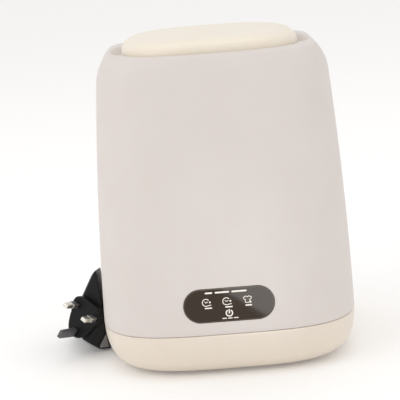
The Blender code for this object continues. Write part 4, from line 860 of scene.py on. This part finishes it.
def make_panel_print(stuff):
    """The white print: a heading, four symbols and their captions, all of them wordless."""
    shape = bmesh.new()
    # Two timers: an open ring that ends in a short foot, two hands, and a dot in the opening.
    for x in (-19.0, -2.1):
        y = 2.8
        stroke(shape, arc((x, y), 2.95, 38, 292) + [Vector((x + 4.3, y - 2.2))], 0.66)
        hands = ((-1.2, 1.0), (-0.2, -0.2), (1.7, 0.7))
        stroke(shape, [Vector((x + px, y + py)) for px, py in hands], 0.6)
        dot(shape, (x + 3.3, y + 0.1), 0.78)
        bar(shape, (x + 1.8, y - 4.75), 6.2, 1.05)
    # A garment: shoulders, sleeves and hem in one outline, with the same dot.
    x, y = 15.4, 3.2
    shirt = ((-1.2, 2.9), (-3.5, 1.6), (-2.7, 0.0), (-1.9, 0.4), (-1.9, -2.7), (1.0, -2.7), (1.9, -1.8),
             (1.9, 0.4), (2.7, 0.0), (3.5, 1.6), (1.2, 2.9), (0.6, 2.2), (-0.6, 2.2))
    stroke(shape, [Vector((x + px, y + py)) for px, py in shirt], 0.62, closed=True)
    dot(shape, (x + 2.3, y - 2.3), 0.82)
    bar(shape, (x + 0.7, y - 4.9), 5.6, 1.15)
    # Power: a broken ring and a bar through the break.
    x, y = -0.3, -7.2
    stroke(shape, arc((x, y), 2.6, 118, 422), 1.0)
    stroke(shape, [Vector((x, y + 3.2)), Vector((x, y - 0.5))], 1.0)
    for middle in (-4.6, 0.2, 4.9):
        bar(shape, (x + middle + 0.4, y - 4.3), 3.9, 0.8)
    # The heading, as three plain bars.
    for start, end in ((-19.4, -13.2), (-11.2, 0.6), (2.6, 15.2)):
        bar(shape, ((start + end) / 2, 10.7), end - start, 1.35)
    mesh = mesh_from("panel_print", shape, panel_frame())
    # The print's ink carries a faint painted glow from its emission.
    return piece("panel_print", mesh, [stuff["ink"]], "machine", smooth=False)


# ---------------------------------------------------------------- cord
def smooth_path(points, spacing):
    """Points a spacing apart along a Catmull-Rom curve through points."""
    ends = [2 * points[0] - points[1], *points, 2 * points[-1] - points[-2]]
    fine = []
    for a, b, c, d in zip(ends, ends[1:], ends[2:], ends[3:]):
        for i in range(24):
            t = i / 24
            bend = (2 * a - 5 * b + 4 * c - d) * t**2 + (3 * b - a - 3 * c + d) * t**3
            fine.append(0.5 * (2 * b + (c - a) * t + bend))
    fine.append(points[-1].copy())
    lengths = [0.0]
    for a, b in zip(fine, fine[1:]):
        lengths.append(lengths[-1] + (b - a).length)
    count = max(2, round(lengths[-1] / spacing))
    path = []
    j = 0
    for i in range(count + 1):
        wanted = lengths[-1] * i / count
        while j < len(fine) - 2 and lengths[j + 1] < wanted:
            j += 1
        share = (wanted - lengths[j]) / max(lengths[j + 1] - lengths[j], 1e-9)
        path.append(fine[j].lerp(fine[j + 1], min(share, 1.0)))
    return path


def coil_points():
    """Five and a half turns, wound inwards on the floor and outwards on top, from the back to the front."""
    low = CORD_DIAMETER / 2 + GAP

    def eased(value):
        value = min(max(value, 0.0), 1.0)
        return value * value * (3 - 2 * value)

    points = []
    for degrees in range(20, 1961, 20):
        radius = COIL_RADIUS + COIL_SWING * (1 - eased(degrees / 90))
        radius -= COIL_STEP * (eased((degrees - 300) / 60) + eased((degrees - 660) / 60))
        radius += COIL_STEP * (eased((degrees - 1260) / 60) + eased((degrees - 1620) / 60))
        radius += COIL_SWING * eased((degrees - 1800) / 120)
        height = low + CORD_DIAMETER * eased((degrees - 930) / 130)
        height -= CORD_DIAMETER * eased((degrees - 1870) / 100)
        angle = math.radians(90 - degrees)
        points.append(Vector((COIL_X + radius * math.cos(angle), COIL_Y + radius * math.sin(angle), height)))
    return points


def make_cord(stuff):
    """The cord from the machine's plug down to the coil, and from the coil to the adapter."""
    low = CORD_DIAMETER / 2 + GAP
    relief_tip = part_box("dc_plug")[1].y / MM
    tip = Vector((INLET_X, relief_tip, INLET_HEIGHT))
    down = [
        tip + Vector((0, GAP, 0)),
        tip + Vector((0, 6, 0)),
        tip + Vector((0, 18, -4)),
        tip + Vector((2, 28, -17)),
        tip + Vector((6, 32, -33)),
        tip + Vector((11, 31, -46)),
        Vector((tip.x + 22, COIL_Y + COIL_OUTER + 3.6, low + 0.8)),
        Vector((COIL_X + 1.0, COIL_Y + 30.7, low)),
    ]
    side = COIL_Y - COIL_OUTER - CORD_DIAMETER / 2 - GAP - 0.4
    relief_end = ADAPTER_EXIT.y + RELIEF_LENGTH
    out = [
        Vector((COIL_X - 2.0, side, low)),
        Vector((COIL_X - 20.0, side + 0.4, low)),
        Vector((COIL_X - 44.0, side - 1.0, low)),
        Vector((COIL_X - 66.0, side - 7.0, low)),
        Vector((COIL_X - 84.0, side - 19.0, low + 1.0)),
        Vector((ADAPTER_EXIT.x + 3.0, relief_end + 23.0, low + 5.0)),
        Vector((ADAPTER_EXIT.x, relief_end + 8.0, ADAPTER_EXIT.z)),
        Vector((ADAPTER_EXIT.x, relief_end + GAP, ADAPTER_EXIT.z)),
    ]
    path = smooth_path(down + coil_points() + out, PATH_SPACING)
    curve = bpy.data.curves.new("power_cord", "CURVE")
    curve.dimensions = "3D"
    curve.bevel_depth = CORD_DIAMETER / 2 * MM
    curve.bevel_resolution = 4
    curve.resolution_u = 4
    curve.use_fill_caps = True
    spline = curve.splines.new("BEZIER")
    spline.bezier_points.add(len(path) - 1)
    for target, point in zip(spline.bezier_points, path):
        target.co = point * MM
        target.handle_left_type = target.handle_right_type = "AUTO"
    curve.materials.append(stuff["pvc"])
    obj = bpy.data.objects.new("power_cord", curve)
    scene.collection.objects.link(obj)
    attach(obj, "machine")
    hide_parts("cord_to_inlet", "cord_coil", "cord_to_adapter")
    return obj, path[0]


# ---------------------------------------------------------------- plug-in adapter
def head_frame():
    """A frame on the plug head's face: X from live to neutral pin, Y to the earth pin, Z out of the face."""
    out = Vector(HEAD_NORMAL).normalized()
    level = Vector((0, 0, 1)).cross(out).normalized()
    up = out.cross(level)
    turn = math.radians(HEAD_TURN)
    earth = level * -math.sin(turn) - up * math.cos(turn)
    across = earth.cross(out)
    return Matrix.Translation(HEAD_CENTRE) @ Matrix((across, earth, out)).transposed().to_4x4()


def pin_box(shape, low, high, size, index, taper=0.0):
    """One length of a flat pin, its corners eased."""
    middle = Matrix.Translation((0, 0, (low + high) / 2))
    made = bmesh.ops.create_cube(shape, matrix=middle @ Matrix.Diagonal((*size, high - low, 1)))
    faces = {face for vert in made["verts"] for face in vert.link_faces}
    for face in faces:
        face.material_index = index
    if taper:
        for vert in made["verts"]:
            if vert.co.z > (low + high) / 2:
                vert.co.x *= 1 - taper
                vert.co.y *= 1 - taper
    edges = {edge for vert in made["verts"] for edge in vert.link_edges}
    bmesh.ops.bevel(shape, geom=list(edges), offset=0.45, segments=3, affect="EDGES", profile=0.5)


def make_pins(stuff):
    """Two sleeved line pins with bright tips, and a longer plain earth pin."""
    third = PIN_PITCH / 3
    on_head = head_frame()
    for name, x, y, replaced in (
        ("live_pin", -PIN_PITCH / 2, -third, "pin_live"),
        ("neutral_pin", PIN_PITCH / 2, -third, "pin_neutral"),
    ):
        shape = bmesh.new()
        pin_box(shape, GAP, SLEEVE_LENGTH, LINE_PIN, 1)
        pin_box(shape, SLEEVE_LENGTH - GAP, GAP + LINE_PIN_LENGTH, LINE_TIP, 0, 0.12)
        mesh = mesh_from(name, shape, on_head @ Matrix.Translation((x, y, 0)))
        piece(name, mesh, [stuff["nickel"], stuff["sleeve"]], "machine", [replaced])
    shape = bmesh.new()
    pin_box(shape, GAP, GAP + EARTH_PIN_LENGTH, EARTH_PIN, 0, 0.1)
    mesh = mesh_from("earth_pin", shape, on_head @ Matrix.Translation((0, 2 * third, 0)))
    piece("earth_pin", mesh, [stuff["sleeve"]], "machine", ["pin_earth"])


def make_facet_highlight(stuff):
    """A painted highlight: a thin grey sheet on the adapter's facet that looks down towards the machine's
    foot, lighter than the black body as if that facet caught the light.
    """
    out = Vector((0.62, -0.7, -0.36)).normalized()
    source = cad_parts["adapter_body"].data
    corners = []
    for polygon in source.polygons:
        if polygon.normal.dot(out) > 0.995:
            corners += [source.vertices[i].co / MM for i in polygon.vertices]
    middle = sum(corners, Vector()) / len(corners)
    across = Vector((0, 0, 1)).cross(out).normalized()
    up = out.cross(across)
    flat = {(round((c - middle).dot(across), 2), round((c - middle).dot(up), 2)) for c in corners}
    shape = bmesh.new()
    verts = [shape.verts.new((x, y, 0)) for x, y in sorted(flat)]
    hull = bmesh.ops.convex_hull(shape, input=verts, use_existing_faces=False)
    inner = {v for v in hull["geom_interior"] if isinstance(v, bmesh.types.BMVert)}
    bmesh.ops.delete(shape, geom=list(inner), context="VERTS")
    outline = [v.co.to_2d() for v in shape.verts if v.is_valid]
    shape.free()
    outline.sort(key=lambda p: math.atan2(p.y, p.x))
    shape = bmesh.new()
    levels = ((0.95, 0.03), (0.95, 0.16), (0.93, 0.2))
    add_rings(shape, [[(*(p * inside), height) for p in outline] for inside, height in levels])
    place = Matrix.Translation(middle) @ Matrix((across, up, out)).transposed().to_4x4()
    mesh = mesh_from("adapter_facet_painted_highlight", shape, place)
    return piece("adapter_facet_painted_highlight", mesh, [stuff["facet_highlight_paint"]], "machine")


def make_relief(name, position, profile, stuff, replaced):
    """A strain relief with rings, or a plug with a ribbed neck."""
    mesh = mesh_from(name, turned(profile, position, (0, 1, 0), 40))
    return piece(name, mesh, [stuff["pvc"]], "machine", [replaced])


def make_cord_ends(stuff):
    """The round plug at the machine, with a grip and a ringed relief, and the adapter's relief."""
    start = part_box("dc_plug")[0].y / MM
    plug = [(0, 0), (4.5, 0), (5.0, 0.25), (5.2, 0.8)]
    for i in range(7):
        at = 4.0 + i * 1.9
        plug += [(5.2, at), (4.75, at + 0.35), (4.75, at + 0.8), (5.2, at + 1.15)]
    plug += [(5.2, 18.0), (4.6, 19.0), (3.6, 20.0)]
    for i in range(5):
        at = 21.0 + i * 2.5
        radius = 3.4 - 0.9 * (at - 20) / RELIEF_LENGTH
        plug += [(radius, at), (radius - 0.55, at + 0.2), (radius - 0.55, at + 1.0), (radius, at + 1.2)]
    plug += [(2.5, 33.6), (2.3, 34.0), (0, 34.0)]
    dc = make_relief("plug_at_machine", (INLET_X, start, INLET_HEIGHT), plug, stuff, "dc_plug")
    relief = [(0, 0), (4.0, 0), (4.0, 1.6)]
    for i in range(4):
        at = 2.4 + i * 2.6
        radius = 3.8 - 1.3 * at / RELIEF_LENGTH
        relief += [(radius, at), (radius - 0.55, at + 0.2), (radius - 0.55, at + 1.1), (radius, at + 1.3)]
    relief += [(2.5, 13.6), (2.3, 14.0), (0, 14.0)]
    end = make_relief("relief_at_adapter", ADAPTER_EXIT, relief, stuff, "adapter_strain_relief")
    return dc, end


# ---------------------------------------------------------------- finishes on the CAD nodes that stay
def numbered(name, count):
    """The names of a set of like nodes."""
    return [f"{name}_{i + 1}" for i in range(count)]


def dress_nodes(stuff):
    """Gives each CAD node that still shows its own finish."""
    finishes = {
        "deep_cream": ["base_cover"],
        "tub": ["wash_tub", "lid_liner"],
        "grey": ["pulsator"],
        "silicone": ["lid_seal", "tub_gasket", *numbered("rubber_foot", 4)],
        "structure": ["motor_deck", "bearing_housing", "drain_elbow", "drain_spout", "driven_pulley"],
        "rubber": ["shaft_seal", "drive_belt"],
        "pvc": ["panel_lead", "inlet_lead", "motor_lead"],
        "steel": [*numbered("base_screw", 4), *numbered("motor_screw", 2), "pulsator_screw", "drive_shaft",
                  "motor_shaft", "motor_pulley", "pulley_nut", "inlet_nut", "lower_bearing", "upper_bearing",
                  "dc_plug_barrel"],
        "can": ["motor_can"],
        "board": ["touch_board", "control_board"],
        "adapter": ["adapter_body", "adapter_head", "dc_inlet"],
    }
    for finish, names in finishes.items():
        for name in names:
            for material_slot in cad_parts[name].material_slots:
                material_slot.material = stuff[finish]


# ---------------------------------------------------------------- the scene
def make_studio():
    """A pale matt floor and a soft white surround."""
    floor, tree = blank_material("floor_paper_matt")
    place = add(tree, "ShaderNodeTexCoord")
    fibre = add(tree, "ShaderNodeTexNoise", None, {
        "Vector": place.outputs["Object"], "Scale": 220.0, "Detail": 3.0})
    tone = add(tree, "ShaderNodeMix", {"data_type": "RGBA"}, {
        0: fibre.outputs["Fac"], 6: linear("#F6F5F3"), 7: linear("#FBFAF9")})
    shader = add(tree, "ShaderNodeBsdfPrincipled", None, {
        "Base Color": tone.outputs[2], "Roughness": 0.9, "Specular IOR Level": 0.1,
        "Emission Color": (1.0, 1.0, 1.0, 1.0), "Emission Strength": 0.09})
    finish_material(tree, shader)
    shape = bmesh.new()
    bmesh.ops.create_grid(shape, x_segments=2, y_segments=2, size=6000.0)
    mesh = mesh_from("floor_paper", shape)
    obj = bpy.data.objects.new("floor_paper", mesh)
    scene.collection.objects.link(obj)
    mesh.materials.append(floor)
    world = bpy.data.worlds.new("studio_surround")
    scene.world = world
    world.use_nodes = True
    world.node_tree.nodes.clear()
    surround = add(world.node_tree, "ShaderNodeBackground", None, {
        "Color": (1.0, 1.0, 1.0, 1.0), "Strength": 0.86})
    add(world.node_tree, "ShaderNodeOutputWorld", None, {"Surface": surround.outputs[0]})
    softbox("key_softbox", (-1.5, -1.0, 1.2), (0, 0, 0.12), (1.4, 1.4), 6.0)
    softbox("fill_softbox", (1.5, -1.2, 0.9), (0, 0, 0.12), (1.2, 1.2), 1.6)
    softbox("top_softbox", (0.0, 0.3, 2.2), (0, 0, 0.2), (1.8, 1.8), 6.0)
    # A small low strip that only glossy surfaces see: it lies across one end of the panel's reflection.
    strip = softbox("panel_strip", (0.0, 0.0, 0.0), (0, 0.1, 0), (0.22, 0.09), 0.21)
    strip.location = (0.0613, -0.30, 0.0483)
    lean = Quaternion((0, 1, 0), math.radians(34.8))
    strip.rotation_quaternion = lean @ Quaternion((1, 0, 0), math.radians(90))
    strip.visible_diffuse = False
    strip.visible_camera = False


scene.view_settings.view_transform = "Standard"
make_camera()
stuff = make_materials()
cord_piece, cord_start = make_cord(stuff)
plug_piece, relief_piece = make_cord_ends(stuff)
make_pins(stuff)
make_facet_highlight(stuff)
for make in (make_housing, make_base, make_lid, make_cover_ribs, make_pulsator_nubs, make_drain_cap,
             make_panel, make_panel_print, dress_nodes):
    make(stuff)
make_studio()
